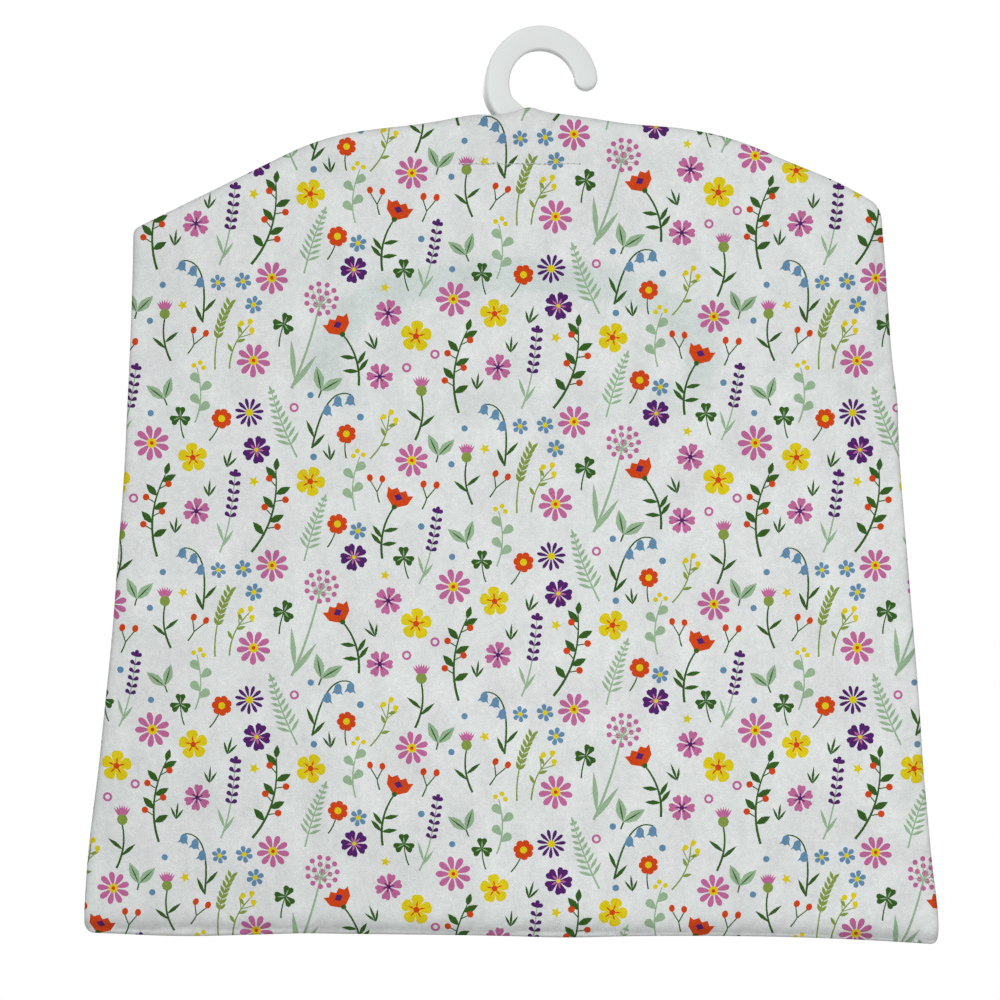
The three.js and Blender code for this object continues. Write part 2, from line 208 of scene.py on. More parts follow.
def bag_outline(face):
    """The finished bag's closed outline with soft corners, anticlockwise from the lower left."""
    bottom = spread(-BOTTOM_LEFT, BOTTOM_RIGHT)
    right = spread(bottom_edge(BOTTOM_RIGHT), top_edge(SHOULDER_RIGHT))
    top = spread(SHOULDER_RIGHT, -SHOULDER_LEFT)
    left = spread(top_edge(-SHOULDER_LEFT), -BAG_HEIGHT)
    sides = [
        np.stack([bottom, sewn_bottom(bottom)], 1),
        np.stack([sewn_right(right), right], 1),
        np.stack([top, sewn_top(top, face)], 1),
        np.stack([sewn_left(left), left], 1),
    ]
    corners = [
        np.array((sides[3][-1, 0], sides[0][0, 1])),
        np.array((sides[1][0, 0], sides[0][-1, 1])),
        np.array((sides[1][-1, 0], sides[2][0, 1])),
        np.array((sides[3][0, 0], sides[2][-1, 1])),
    ]
    kept = []
    for side, first, last in zip(sides, range(4), (1, 2, 3, 0)):
        clear = np.linalg.norm(side - corners[first], axis=1) > CORNER_RADII[first]
        clear &= np.linalg.norm(side - corners[last], axis=1) > CORNER_RADII[last]
        kept.append(side[clear])
    outline = []
    for i in range(4):
        following = (i + 1) % 4
        outline += [*kept[i], *corner_arc(corners[following], kept[i][-1], kept[following][0], following)]
    return np.array(outline)


def corner_arc(corner, before, after, number):
    start, end = (
        corner + (point - corner) / np.linalg.norm(point - corner) * CORNER_RADII[number]
        for point in (before, after)
    )
    return bend(start, corner, end)


OUTLINES = {face: bag_outline(face) for face in (REAR, FRONT)}


def outward(loop):
    """Unit normals of a closed anticlockwise loop."""
    tangent = np.roll(loop, -1, 0) - np.roll(loop, 1, 0)
    normal = np.stack([tangent[:, 1], -tangent[:, 0]], 1)
    return normal / np.linalg.norm(normal, axis=1)[:, None]


def mouth_point(angle, inset):
    """On the mouth's flat oval, at an angle from its right end, moved in by inset."""
    power = 2 / MOUTH_FULLNESS_SHARE
    across, up = np.cos(angle), np.sin(angle)
    reach = np.where(up > 0, MOUTH_RISE, MOUTH_DROP) - inset
    x = MOUTH_X + (MOUTH_HALF_WIDTH - inset) * np.sign(across) * np.abs(across) ** power
    z = MOUTH_Z + reach * np.sign(up) * np.abs(up) ** power
    return np.stack([x, z], -1)


def part_of(points, value, closed=False):
    """The run of points whose value is above 0, ended where the line crosses 0."""
    if closed:
        kept = value(points) > 0
        first = next(i for i in range(len(points)) if not kept[i - 1] and kept[i])
        points = np.roll(points, 1 - first, 0)
        points = np.vstack([points, points[:1]])
    values = value(points)
    found = []
    for i, point in enumerate(points):
        if values[i] > 0:
            found.append(point)
        if i + 1 < len(points) and (values[i] > 0) != (values[i + 1] > 0):
            share = values[i] / (values[i] - values[i + 1])
            found.append(point + (points[i + 1] - point) * share)
    return np.array(found)


def line_between(start, end):
    """Points from start to end, both left out."""
    start, end = np.array(start), np.array(end)
    count = max(2, int(np.linalg.norm(end - start) / GRID_STEP))
    return start + (end - start) * np.linspace(0, 1, count + 1)[1:-1, None]


# Shape of the cloths

# Soft folds: wavelength, direction in degrees, phase and share of the fold's height
FOLD_WAVES = {
    REAR: [(118, 12, 0.4, 0.5), (83, 78, 2.1, 0.3), (61, 35, 4.0, 0.24), (47, 118, 1.2, 0.16)],
    FRONT: [
        (132, 4, 1.9, 0.6), (91, 21, 0.3, 0.4), (67, -14, 3.3, 0.3), (52, 64, 5.1, 0.2),
        (45, 9, 2.4, 0.24), (37, -33, 0.9, 0.15),
    ],
}
FOLD_HEIGHT = {REAR: 1.6, FRONT: 4.2}
FOLD_STRAY, FOLD_STRAY_LENGTH = 0.6, 1.9  # how far a fold's line strays, and over how many wavelengths
FOLD_EDGE, FOLD_OVER_ARMS = (2, 42), 0.2
CURL_FROM, CURL_TOWARDS = (-95.0, -245.0), (-0.695, -0.719)  # of the lower left corner
CURL_REACH, CURL_DEPTH = 120.0, 11.5
ROLL_REACH, ROLL_DEPTH, ROLL_POWER = 12.5, 4.3, 3.4  # the bottom edge turns towards the mouth's side
SIDE_CURL, SIDE_CURL_ACROSS = 2.6, (112, 160)  # of the right side
SIDE_CURL_START, SIDE_CURL_END = (62, 110), (150, 250)  # below the crown
SWAY_HEIGHT, SWAY_LENGTH, SWAY_SLANT, SWAY_PHASE = 1.7, 172.0, 0.25, 0.8
SWAY_START = 80
KEEPER_PINCH = {REAR: 0.55, FRONT: 0.9}
PINCH_REACH, PINCH_END = 2.6, (-2, 5)
PUCKER_HEIGHT, PUCKER_LENGTH = 0.16, 10.5
PUCKER_MIDDLE, PUCKER_REACH = 4, 4.5  # distance from the edge, and how far to both sides of it
PUCKER_STRAY, PUCKER_STRAY_X, PUCKER_STRAY_Z = 1.3, 17, 23
EDGE_EFFECT = 60.0  # no fold or pucker depends on an outline farther away
EDGE_CHUNK = 2000  # points measured at a time, to save memory
TOUCHING = 1e-6
NUDGE = 0.25  # for slopes


def edge_distances(x, z):
    side = np.minimum(x - left_edge(z), right_edge(z) - x)
    return side, top_edge(x) - z, z - bottom_edge(x)


def neck_opening(x, z):
    """1 where the top seam is left open for the hook's neck."""
    low, high = NECK_GAP_END
    across = smooth(x, NECK_LEFT[0] + low, NECK_LEFT[0] + high)
    across = across * smooth(-x, NECK_RIGHT[0] + low, NECK_RIGHT[0] + high)
    return across * (1 - smooth(top_edge(x) - z, *NECK_GAP_DEPTH))


def sway(x, z):
    """How far both cloths hang out of the bag's plane, more and more below the hanger's arms."""
    past = (x - CURL_FROM[0]) * CURL_TOWARDS[0] + (z - CURL_FROM[1]) * CURL_TOWARDS[1]
    corner = CURL_DEPTH * smooth(past, 0, CURL_REACH)
    side = SIDE_CURL * smooth(x, *SIDE_CURL_ACROSS) * smooth(-z, *SIDE_CURL_START)
    side = side * (1 - smooth(-z, *SIDE_CURL_END))
    rolling = SWAY_HEIGHT * np.sin(2 * np.pi * (x + SWAY_SLANT * z) / SWAY_LENGTH + SWAY_PHASE)
    rolling = rolling * smooth(-z, SWAY_START, BAG_HEIGHT)
    roll = ROLL_DEPTH * np.clip(1 - (z - bottom_edge(x)) / ROLL_REACH, 0, 1) ** ROLL_POWER
    return corner + side + rolling + roll


def folds(face, x, z, edge):
    """Low rolling unevenness that fades out towards the sewn edges and over the hanger."""
    total = 0
    for length, degrees, phase, share in FOLD_WAVES[face]:
        c, s = math.cos(math.radians(degrees)), math.sin(math.radians(degrees))
        stray = FOLD_STRAY * np.sin(2 * np.pi * (z * c - x * s) / (FOLD_STRAY_LENGTH * length))
        total = total + share * np.sin(2 * np.pi * (x * c + z * s) / length + phase + stray)
    below_arms = smooth(top_edge(x) - z, ARM_TOP, ARM_ROOM_DEPTH + ROOM_FADE)
    below_arms = FOLD_OVER_ARMS + (1 - FOLD_OVER_ARMS) * below_arms
    return FOLD_HEIGHT[face] * (0.5 + total / 2) * smooth(edge, *FOLD_EDGE) * below_arms


def rounded(edge, radius):
    """Height of a round edge, from 0 on the edge to 1 where the radius ends."""
    return np.sqrt(1 - (1 - np.clip(edge / radius, 0, 1)) ** 2)


def cloth_depths(face, x, z, edge):
    """Distances of a cloth's outer and inner face from the mid-plane, edge being that to the outline."""
    side, top, bottom = edge_distances(x, z)
    fade = 1 - smooth(top, ARM_ROOM_DEPTH, ARM_ROOM_DEPTH + ROOM_FADE)
    tips = smooth(x - left_edge(z), *LEFT_RAMP) * smooth(right_edge(z) - x, *RIGHT_RAMP)
    arms = ARM_ROOM * smooth(top, *TOP_RAMP) * tips * fade
    neck = NECK_ROOM[face] * smooth(x, *NECK_LEFT) * smooth(-x, *NECK_RIGHT)
    neck = neck * (1 - smooth(top, *NECK_DEPTH))
    room = (arms + neck + np.sqrt((arms - neck) ** 2 + ROOM_JOIN**2) - ROOM_JOIN) / 2
    belly = smooth(side, 0, SIDE_REACH) * smooth(bottom, 0, BOTTOM_REACH) * (1 - fade)
    beside = np.abs(x - KEEPER_X) - KEEPER_LENGTH / 2
    pinch = np.exp(-(((z - KEEPER_Z) / PINCH_REACH) ** 2)) * (1 - smooth(beside, *PINCH_END))
    stray = PUCKER_STRAY * np.sin(x / PUCKER_STRAY_X + z / PUCKER_STRAY_Z)
    ripple = np.sin(2 * np.pi * (x - z) / PUCKER_LENGTH + stray)
    pucker = PUCKER_HEIGHT * ripple * np.exp(-(((edge - PUCKER_MIDDLE) / PUCKER_REACH) ** 2))
    full = SEAM_ROOM + room + BELLY[face] * belly + folds(face, x, z, edge)
    full = full - KEEPER_PINCH[face] * pinch + pucker + CLOTH
    turned_in, hemmed = rounded(edge, SEAM_ROUND), rounded(edge, CLOTH)
    open_share = neck_opening(x, z)
    sewn = SEAM_LIP + (full - SEAM_LIP) * turned_in
    free = full - CLOTH / 2 * (1 - hemmed)
    outer = sewn + (free - sewn) * open_share
    around = turned_in + (hemmed - turned_in) * open_share
    outer = outer + face * sway(x, z)
    return outer, outer - CLOTH * (ROLL_LEAST_SHARE + (1 - ROLL_LEAST_SHARE) * around)


def edge_distance(points, outline):
    """Distance of each point from a closed outline, and the direction that it grows in, near it."""
    found = np.minimum.reduce(edge_distances(*points.T))
    growing = np.zeros((len(points), 2))
    near = np.nonzero(found < EDGE_EFFECT)[0]
    step = np.roll(outline, -1, 0) - outline
    inward = np.stack([-step[:, 1], step[:, 0]], 1) / np.linalg.norm(step, axis=1)[:, None]
    for chunk in np.array_split(near, max(1, len(near) // EDGE_CHUNK)):
        offset = points[chunk][:, None] - outline
        share = np.clip((offset * step).sum(2) / (step**2).sum(1), 0, 1)
        offset -= share[..., None] * step
        distances = np.linalg.norm(offset, axis=2)
        nearest = distances.argmin(1)
        rows = np.arange(len(chunk))
        found[chunk] = distances[rows, nearest]
        away = offset[rows, nearest] / np.maximum(found[chunk], TOUCHING)[:, None]
        growing[chunk] = np.where(found[chunk, None] > TOUCHING, away, inward[nearest])
    return found, growing


def depths_at(face, points):
    """Depths of a cloth's outer and inner face over points of the bag's plane."""
    return cloth_depths(face, *points.T, edge_distance(points, OUTLINES[face])[0])


def layer(face, points, inner):
    """Where a cloth's outer or inner face lies over points of the bag's plane, and its normals."""
    distance, growing = edge_distance(points, OUTLINES[face])

    def depth(x=0, z=0):
        distances = distance + growing @ (x, z)
        return cloth_depths(face, points[:, 0] + x, points[:, 1] + z, distances)[1 if inner else 0]

    slope_x = (depth(x=NUDGE) - depth(x=-NUDGE)) / (2 * NUDGE)
    slope_z = (depth(z=NUDGE) - depth(z=-NUDGE)) / (2 * NUDGE)
    normals = np.stack([-slope_x, np.full(len(points), face), -slope_z], 1)
    normals /= np.linalg.norm(normals, axis=1)[:, None]
    places = np.stack([points[:, 0], face * depth(), points[:, 1]], 1)
    return places, -normals if inner else normals


# The print: inks and motifs

INKS = {
    "yellow": (209, 191, 6),
    "pink": (181, 97, 145),
    "orange": (198, 62, 6),
    "dark": (46, 86, 24),
    "purple": (76, 24, 98),
    "sage": (142, 171, 138),
    "blue": (92, 132, 163),
    "olive": (122, 144, 60),
    "needle": (148, 154, 151),  # painted shadow in the holes where the keeper row's thread dips in
    "bare": None,
}
INK_NAMES = list(INKS)


def linear(rgb):
    shares = np.array(rgb, float) / 255
    return np.where(shares <= 0.04045, shares / 12.92, ((shares + 0.055) / 1.055) ** 2.4)


def colour_of(rgb):
    return (*linear(rgb), 1)


def turned(points, degrees, at=(0, 0)):
    angle = math.radians(degrees)
    c, s = math.cos(angle), math.sin(angle)
    return np.asarray(points, float) @ np.array([[c, s], [-s, c]]) + np.array(at)


def disc(x, y, radius, sides=12):
    angles = np.arange(sides) * 2 * np.pi / sides
    return np.stack([x + radius * np.cos(angles), y + radius * np.sin(angles)], 1)


# Half outlines from the base to the tip: shares of the length and of the width
PETAL_SHARES = ((0, 0.06), (0.3, 0.3), (0.62, 0.48), (0.86, 0.42), (0.97, 0.2), (1, 0))
NOTCHED_SHARES = ((0, 0.08), (0.35, 0.3), (0.7, 0.5), (0.95, 0.42), (1, 0.2), (0.9, 0))
LEAF_SHARES = ((0, 0), (0.22, 0.33), (0.48, 0.5), (0.75, 0.32), (1, 0))
BELL_SHARES = ((0, 0.12), (0.25, 0.36), (0.65, 0.4), (1, 0.6), (0.86, 0.3), (1, 0))


def blade(x, y, length, width, degrees, shares=LEAF_SHARES):
    """A petal or leaf from its base at x, y; 90 degrees points up."""
    half = [(along * length, out * width) for along, out in shares]
    mirrored = [(a, -b) for a, b in reversed(half) if b]
    return turned(half + mirrored, degrees, (x, y))


def ring_of(count, reach, length, width, shares=PETAL_SHARES):
    """Petals all round, from the topmost one on."""
    angles = [90 + 360 / count * i for i in range(count)]
    return [blade(*turned([(reach, 0)], angle)[0], length, width, angle, shares) for angle in angles]


def stalk(line, width=0.55, tip=0.4):
    """A stem along a line of points, as wide as width at its foot and tip at its end."""
    line = np.asarray(line, float)
    tangent = np.gradient(line, axis=0)
    normal = np.stack([-tangent[:, 1], tangent[:, 0]], 1)
    normal /= np.linalg.norm(normal, axis=1)[:, None]
    half = np.linspace(width, tip, len(line))[:, None] / 2
    return np.vstack([line + normal * half, (line - normal * half)[::-1]])


def leaves(ink, line, places, length, width, shares=LEAF_SHARES):
    """Leaves or petals on a line, each given by the number of its point and its angle."""
    return [(ink, blade(*line[i], length, width, angle, shares)) for i, angle in places]


def both_ways(numbers, middle, lean):
    """For leaves: a pair at each numbered point, which leans to the left and to the right."""
    return [(i, middle + way * lean) for i in numbers for way in (1, -1)]


def in_turn(middle, lean, *sided):
    """For leaves: one at each numbered point, which leans to the side given with it."""
    return [(i, middle - lean * side) for i, side in sided]


def flower(rings, heart):
    """Rings of petals, each an ink and the values of ring_of, and discs in the middle."""
    petals = [(ink, petal) for ink, *ring in rings for petal in ring_of(*ring)]
    return petals + [(ink, disc(0, 0, radius, sides)) for ink, radius, sides in heart]


def daisy():
    return flower([("pink", 9, 1.0, 5.0, 2.3)], [("yellow", 1.7, 12), ("orange", 0.7, 8)])


def blossom():
    petals = ("purple", 5, 0.5, 4.6, 4.2, NOTCHED_SHARES)
    return flower([petals, ("pink", 5, 0.3, 2.7, 0.8, LEAF_SHARES)], [("yellow", 0.8, 8)])


def buttercup():
    rays = ("orange", 5, 0.8, 2.4, 0.6, LEAF_SHARES)
    return flower([("yellow", 5, 0.4, 5.1, 4.6), rays], [("orange", 1.1, 10)])


def rosette():
    petals = ("pink", 6, 0.6, 4.4, 3.3, NOTCHED_SHARES)
    return flower([petals, ("purple", 6, 0.5, 2.0, 0.5, LEAF_SHARES)], [("purple", 0.9, 9)])


def marigold():
    stem = stalk(bend((1.6, -9), (0.2, -6), (0, -2)))
    return [("dark", stem), *flower([("orange", 7, 0.4, 3.3, 2.7)], [("yellow", 1.3, 10)])]


def bluet():
    return flower([("blue", 6, 0.3, 2.9, 1.9)], [("yellow", 0.95, 9)])


def aster():
    return flower([("purple", 11, 0.9, 4.3, 1.35)], [("yellow", 1.35, 10)])


def poppy():
    stem = bend((3, -17), (-2, -9), (0, 0), 9)
    cup = [(-0.7, 0), (-3.6, 2.2), (-4.4, 5.4), (-2.9, 4.9), (-1.5, 6.2), (0, 5.1)]
    cup += [(1.5, 6.3), (2.8, 4.9), (4.4, 5.6), (3.7, 2.2), (0.7, 0)]
    heart = [(-1.5, 3.4), (0, 4.6), (1.5, 3.4), (0, 2.2)]
    return [
        ("dark", stalk(stem, 0.8, 0.55)),
        *leaves("dark", stem, ((3, 148), (4, 34), (2, 30), (2, 155)), 5.2, 1.5),
        ("orange", cup),
        ("purple", heart),
        ("dark", disc(0, 0, 0.9, 8)),
    ]


def lavender():
    stem = bend((1.5, -13), (-1, -4), (0.5, 12), 12)
    return [
        ("sage", stalk(stem, 0.6, 0.35)),
        *leaves("sage", stem, ((1, 115), (2, 62)), 7.0, 1.1),
        *leaves("purple", stem, both_ways(range(6, 12), 90, 55), 2.2, 1.5, PETAL_SHARES),
        *leaves("purple", stem, [(-1, 90)], 2.4, 1.5, PETAL_SHARES),
    ]


def clover():
    angles = [(0, angle) for angle in (90, 208, -28)]
    return [
        ("dark", stalk(bend((1.8, -8), (0.4, -5), (0, 0)))),
        *leaves("dark", [(0, 0)], angles, 3.9, 3.9, NOTCHED_SHARES),
        *leaves("sage", [(0, 0)], angles, 2.9, 0.45),
    ]


def berry_branch():
    stem = bend((0, -13), (-4.5, -1), (1.5, 12), 13)
    leaf_places = in_turn(82, 52, (3, 1), (5, -1), (7, 1), (9, -1), (11, 1))
    shapes = [("dark", stalk(stem, 0.8, 0.4)), *leaves("dark", stem, leaf_places, 4.9, 2.2)]
    for i, side in ((4, -1), (6, 1), (8, -1), (10, 1)):
        x, y = stem[i] + (2.8 * side, 1.6)
        shapes += [("dark", stalk([stem[i], (x, y)], 0.35, 0.35)), ("orange", disc(x, y, 1.05, 9))]
    return shapes + leaves("dark", stem, [(-1, 75)], 4.0, 1.9)


def frond():
    stem = bend((0, -11), (1, 0), (0, 10), 11)
    shapes = [("sage", stalk(stem, 0.6, 0.3))]
    for i in range(2, 11):
        shapes += leaves("sage", stem, both_ways([i], 90, 52), 5.6 - 0.42 * i, 1.05)
    return shapes + leaves("sage", stem, [(-1, 92)], 2.6, 0.9)


def round_sprig():
    stem = bend((0, -10), (2.5, -2), (-1.5, 8), 9)
    leaf_places = in_turn(92, 48, (2, 1), (3, -1), (5, 1), (6, -1))
    berries = ((-2.6, 8.6), (-0.6, 9.8), (0.7, 8.2))
    return [
        ("sage", stalk(stem, 0.55, 0.35)),
        *leaves("sage", stem, leaf_places, 4.2, 3.0, PETAL_SHARES),
        *(("yellow", disc(x, y, 0.85, 8)) for x, y in berries),
    ]


def bells():
    stem = bend((-2, -12), (-3, 9), (6, 8), 13)
    hung = [stem[i] - (0, drop) for i, drop in ((12, 0), (9, 0.6), (6, 0.6))]
    return [
        ("dark", stalk(stem, 0.7, 0.4)),
        *leaves("blue", hung, [(i, -82) for i in range(3)], 3.6, 3.2, BELL_SHARES),
        *leaves("dark", stem, ((0, 62), (1, 128)), 6.4, 1.3),
    ]


def allium():
    stem = bend((1.5, -17), (-0.5, -6), (0, 8), 11)
    shapes = [("sage", stalk(stem, 0.8, 0.5))]
    shapes += leaves("sage", stem, ((0, 112), (1, 70)), 12, 1.6)
    shapes.append(("pink", disc(0, 10, 1.0, 8)))
    for count, reach in ((6, 2.3), (11, 4.3)):
        for x, y in disc(0, 10, reach, count):
            shapes += [("sage", stalk([(0, 8), (x, y)], 0.2, 0.2)), ("pink", disc(x, y, 0.8, 7))]
    return shapes


def thistle():
    stem = bend((2, -12), (-1.5, -5), (0, 2), 8)
    tuft_places = [(0, angle) for angle in (52, 65, 78, 90, 102, 115, 128)]
    return [
        ("dark", stalk(stem, 0.75, 0.5)),
        *leaves("dark", stem, ((2, 140), (3, 38)), 6.0, 1.3),
        *leaves("pink", [(0, 4)], tuft_places, 4.4, 0.9),
        ("olive", disc(0, 3.6, 1.75, 10)),
    ]


def tuft():
    blades = ((5.2, 62), (6.6, 92), (4.8, 121))
    return [("dark", blade(0, -3, length, 0.95, angle)) for length, angle in blades]


def rosehips():
    fork = (0, -2.5)
    shapes = [("dark", stalk(bend((0.6, -6.5), (0, -4), fork, 4)))]
    for end in ((-2.2, 2.0), (2.3, 1.2)):
        hip = turned(disc(0, 0, 1.0, 10) * (1.35, 1.1), 90, end + np.array((0, 0.9)))
        shapes += [("dark", stalk([fork, end], 0.45, 0.4)), ("orange", hip)]
    return shapes


def star():
    reaches = np.where(np.arange(10) % 2, 0.95, 2.1)
    angles = np.pi / 2 + np.arange(10) * np.pi / 5
    return [("yellow", np.stack([reaches * np.cos(angles), reaches * np.sin(angles)], 1))]


def blue_dot():
    return [("blue", disc(0, 0, 1.4))]


def pink_ring():
    return [("pink", disc(0, 0, 1.8, 14)), ("bare", disc(0, 0, 0.95, 10))]


def leaf_pair():
    shapes = []
    for angle in (58, 128):
        shapes += [("sage", blade(0, -4, 8.6, 3.7, angle)), ("dark", blade(0, -4, 7.6, 0.55, angle))]
    return [*shapes, ("dark", stalk([(0.3, -6.5), (0, -3.9)], 0.55, 0.55))]


def bud_spray():
    stem = bend((0, -9), (3, 0), (-1, 8), 10)
    shapes = [("olive", stalk(stem, 0.6, 0.35))]
    shapes += leaves("olive", stem, in_turn(90, 50, (3, 1), (5, -1), (7, 1)), 3.6, 1.3)
    for x, y in ((-1, 8.4), (-3.2, 5.8), (2.6, 6.6)):
        bud = blade(x, y - 0.6, 2.7, 2.1, 90 + 8 * x, PETAL_SHARES)
        shapes += [("olive", stalk([stem[6], (x, y)], 0.35, 0.35)), ("yellow", bud)]
    return shapes


def wheat():
    stem = bend((0, -12), (-2.5, 0), (1.5, 10), 12)
    ears = both_ways(range(5, 12), 84, 32)
    return [("olive", stalk(stem, 0.55, 0.3)), *leaves("olive", stem, ears, 3.1, 1.2)]


# How many of each go on one tile of the print, their size, and how far they may lean, in degrees
UPRIGHT, ANY_WAY = 28, 180
PRINT_COUNTS = (
    (allium, 1, 1.4, UPRIGHT),
    (berry_branch, 2, 1.4, UPRIGHT),
    (poppy, 2, 1.3, UPRIGHT),
    (lavender, 2, 1.25, UPRIGHT),
    (bells, 2, 1.3, UPRIGHT),
    (wheat, 1, 1.25, UPRIGHT),
    (frond, 2, 1.3, UPRIGHT),
    (thistle, 2, 1.3, UPRIGHT),
    (round_sprig, 2, 1.3, UPRIGHT),
    (bud_spray, 2, 1.2, UPRIGHT),
    (daisy, 4, 1.2, ANY_WAY),
    (blossom, 2, 1.15, ANY_WAY),
    (buttercup, 3, 1.12, ANY_WAY),
    (rosette, 3, 1.15, ANY_WAY),
    (aster, 1, 1.15, ANY_WAY),
    (marigold, 3, 1.12, UPRIGHT),
    (leaf_pair, 3, 1.15, UPRIGHT),
    (clover, 3, 1.15, UPRIGHT),
    (rosehips, 3, 1.15, UPRIGHT),
    (bluet, 4, 1.1, ANY_WAY),
    (tuft, 5, 1.15, UPRIGHT),
    (pink_ring, 3, 1.1, UPRIGHT),
    (star, 3, 1.1, ANY_WAY),
    (blue_dot, 7, 1.0, UPRIGHT),
)
PRINT_TILE = (124.0, 118.0)
PRINT_CELL = 0.5
PRINT_AIR = 1.7  # least distance between two motifs
PRINT_TRIES = 1600
PRINT_UNEVEN = (0.94, 1.06)  # of a motif's size
PRINT_SEED, KEEPER_SEED = 8, 5
PRINT_SHIFT = {REAR: (40.0, 12.0), FRONT: (-15.0, 70.0)}
LATTICE = np.array([(PRINT_TILE[0], PRINT_TILE[1] / 2), (0, PRINT_TILE[1])])  # half-drop repeat


def along_outline(points):
    """Points every cell or closer along a closed outline."""
    found = []
    for start, end in zip(points, np.roll(points, -1, 0)):
        count = max(1, math.ceil(np.linalg.norm(end - start) / PRINT_CELL))
        found.append(start + (end - start) * np.arange(count)[:, None] / count)
    return np.vstack(found)


def tile_cells(points):
    """The cells of the repeating tile that points fall in."""
    column = np.floor(points[:, 0] / PRINT_TILE[0])
    x = points[:, 0] - column * PRINT_TILE[0]
    y = (points[:, 1] - column * PRINT_TILE[1] / 2) % PRINT_TILE[1]
    return (x / PRINT_CELL).astype(int), (y / PRINT_CELL).astype(int)


def print_layout():
    """The motifs on one tile of the repeat, thrown at random where there is still room."""
    rng = random.Random(PRINT_SEED)
    taken = np.zeros([math.ceil(side / PRINT_CELL) + 1 for side in PRINT_TILE], bool)
    reach = np.arange(-PRINT_AIR, PRINT_AIR + PRINT_CELL / 2, PRINT_CELL)
    around = np.array([(x, y) for x in reach for y in reach if math.hypot(x, y) <= PRINT_AIR])
    laid = []
    for motif, count, scale, most_lean in PRINT_COUNTS:
        shapes = [(ink, np.asarray(points, float)) for ink, points in motif()]
        border = np.vstack([along_outline(points) for _, points in shapes])
        for _ in range(PRINT_TRIES * count):
            lean = rng.uniform(-most_lean, most_lean)
            at = (rng.uniform(0, PRINT_TILE[0]), rng.uniform(0, PRINT_TILE[1]))
            tall = scale * rng.uniform(*PRINT_UNEVEN)
            size = (rng.choice((-tall, tall)), tall)
            edge = turned(border * size, lean, at)
            if not taken[tile_cells(edge)].any():
                taken[tile_cells((edge[:, None] + around).reshape(-1, 2))] = True
                laid += [(ink, turned(points * size, lean, at)) for ink, points in shapes]
                count -= 1
                if not count:
                    break
    return laid


TILE = print_layout()


def keeper_marks():
    """Where the needle went in along the keeper row, and how wide the painted shadow in each hole is."""
    rng = random.Random(KEEPER_SEED)
    marks = []
    for i in range(int(KEEPER_LENGTH / KEEPER_PITCH) + 1):
        stray = [rng.uniform(-KEEPER_UNEVEN, KEEPER_UNEVEN) for _ in range(2)]
        at = (KEEPER_X - KEEPER_LENGTH / 2 + KEEPER_PITCH * i + stray[0], KEEPER_Z + stray[1])
        marks.append((*at, rng.uniform(*NEEDLE_SHADOW_SIZES)))
    return marks


KEEPER_MARKS = keeper_marks()
PRINT_REPEATS = (range(-4, 5), range(-6, 7))  # steps of the lattice, enough to cover a cloth


def printed_on(face, outline):
    """Coloured shapes that fall on a cloth: the print, and on top the painted shadows in the keeper row's
    needle holes.

    They come as ink numbers and points in the cloth's plane, anticlockwise.
    """
    low, high = outline.min(0), outline.max(0)
    way = (1, 1) if face == REAR else (-1, 1)
    shapes = []
    for i in PRINT_REPEATS[0]:
        for j in PRINT_REPEATS[1]:
            move = i * LATTICE[0] + j * LATTICE[1] + PRINT_SHIFT[face]
            shapes += [(ink, (points + move) * way) for ink, points in TILE]
    # The keeper row's needle holes, as discs of painted shadow
    shapes += [("needle", np.asarray(disc(*mark), float)) for mark in KEEPER_MARKS]
    found = []
    for ink, at in shapes:
        if (at.max(0) > low).all() and (at.min(0) < high).all():
            x, y = at[:, 0], at[:, 1]
            area = (x * np.roll(y, -1) - y * np.roll(x, -1)).sum()
            found.append((INK_NAMES.index(ink), at if area > 0 else at[::-1]))
    return found


# Meshes

ROW_SHARE = 0.866  # of the grid's step, from row to row
KEEPER_ROWS = (-4.5, -3, -1.8, -0.8, 0, 0.8, 1.8, 3, 4.5)  # of points, above and below the stitches
KEEPER_REACH, KEEPER_STEP, KEEPER_BAND = 31, 2.0, 5.5
CUT_CLEARANCE = 0.2  # least distance of a point from the cut
MESH_INSIDE, MESH_TOLERANCE = 1, 1e-5  # for delaunay_2d_cdt: keeps what lies inside the loop


def new_object(name, vertices, faces, material, smooth_faces=True):
    mesh = bpy.data.meshes.new(name)
    mesh.from_pydata([tuple(v) for v in vertices], [], [tuple(int(i) for i in f) for f in faces])
    mesh.materials.append(material)
    mesh.polygons.foreach_set("use_smooth", [smooth_faces] * len(mesh.polygons))
    mesh.update()
    piece = bpy.data.objects.new(name, mesh)
    bpy.context.scene.collection.objects.link(piece)
    return piece


def give_flat(piece, flat):
    """Stores where each point lies on the flat cloth, in millimetres, for the weave."""
    attribute = piece.data.attributes.new("flat", "FLOAT_VECTOR", "POINT")
    padded = np.zeros((len(flat), 3), np.float32)
    padded[:, :2] = flat
    attribute.data.foreach_set("vector", padded.ravel())


def give_values(mesh, name, values):
    attribute = mesh.attributes.new(name, "FLOAT", "POINT")
    attribute.data.foreach_set("value", values.astype(np.float32))


def inside(points, loop):
    """Which points lie inside a closed loop."""
    found = np.zeros(len(points), bool)
    for a, b in zip(loop, np.roll(loop, -1, 0)):
        crosses = (a[1] > points[:, 1]) != (b[1] > points[:, 1])
        if a[1] != b[1]:
            at = a[0] + (points[:, 1] - a[1]) * (b[0] - a[0]) / (b[1] - a[1])
            found ^= crosses & (points[:, 0] < at)
    return found


def clear_of(points, loop, distance):
    """Which points lie at least distance from every edge of a closed loop."""
    step = np.roll(loop, -1, 0) - loop
    found = np.ones(len(points), bool)
    for a, d in zip(loop, step):
        offset = points - a
        share = np.clip(offset @ d / max(d @ d, SHORTEST_SQUARED), 0, 1)
        found &= np.linalg.norm(offset - share[:, None] * d, axis=1) > distance
    return found


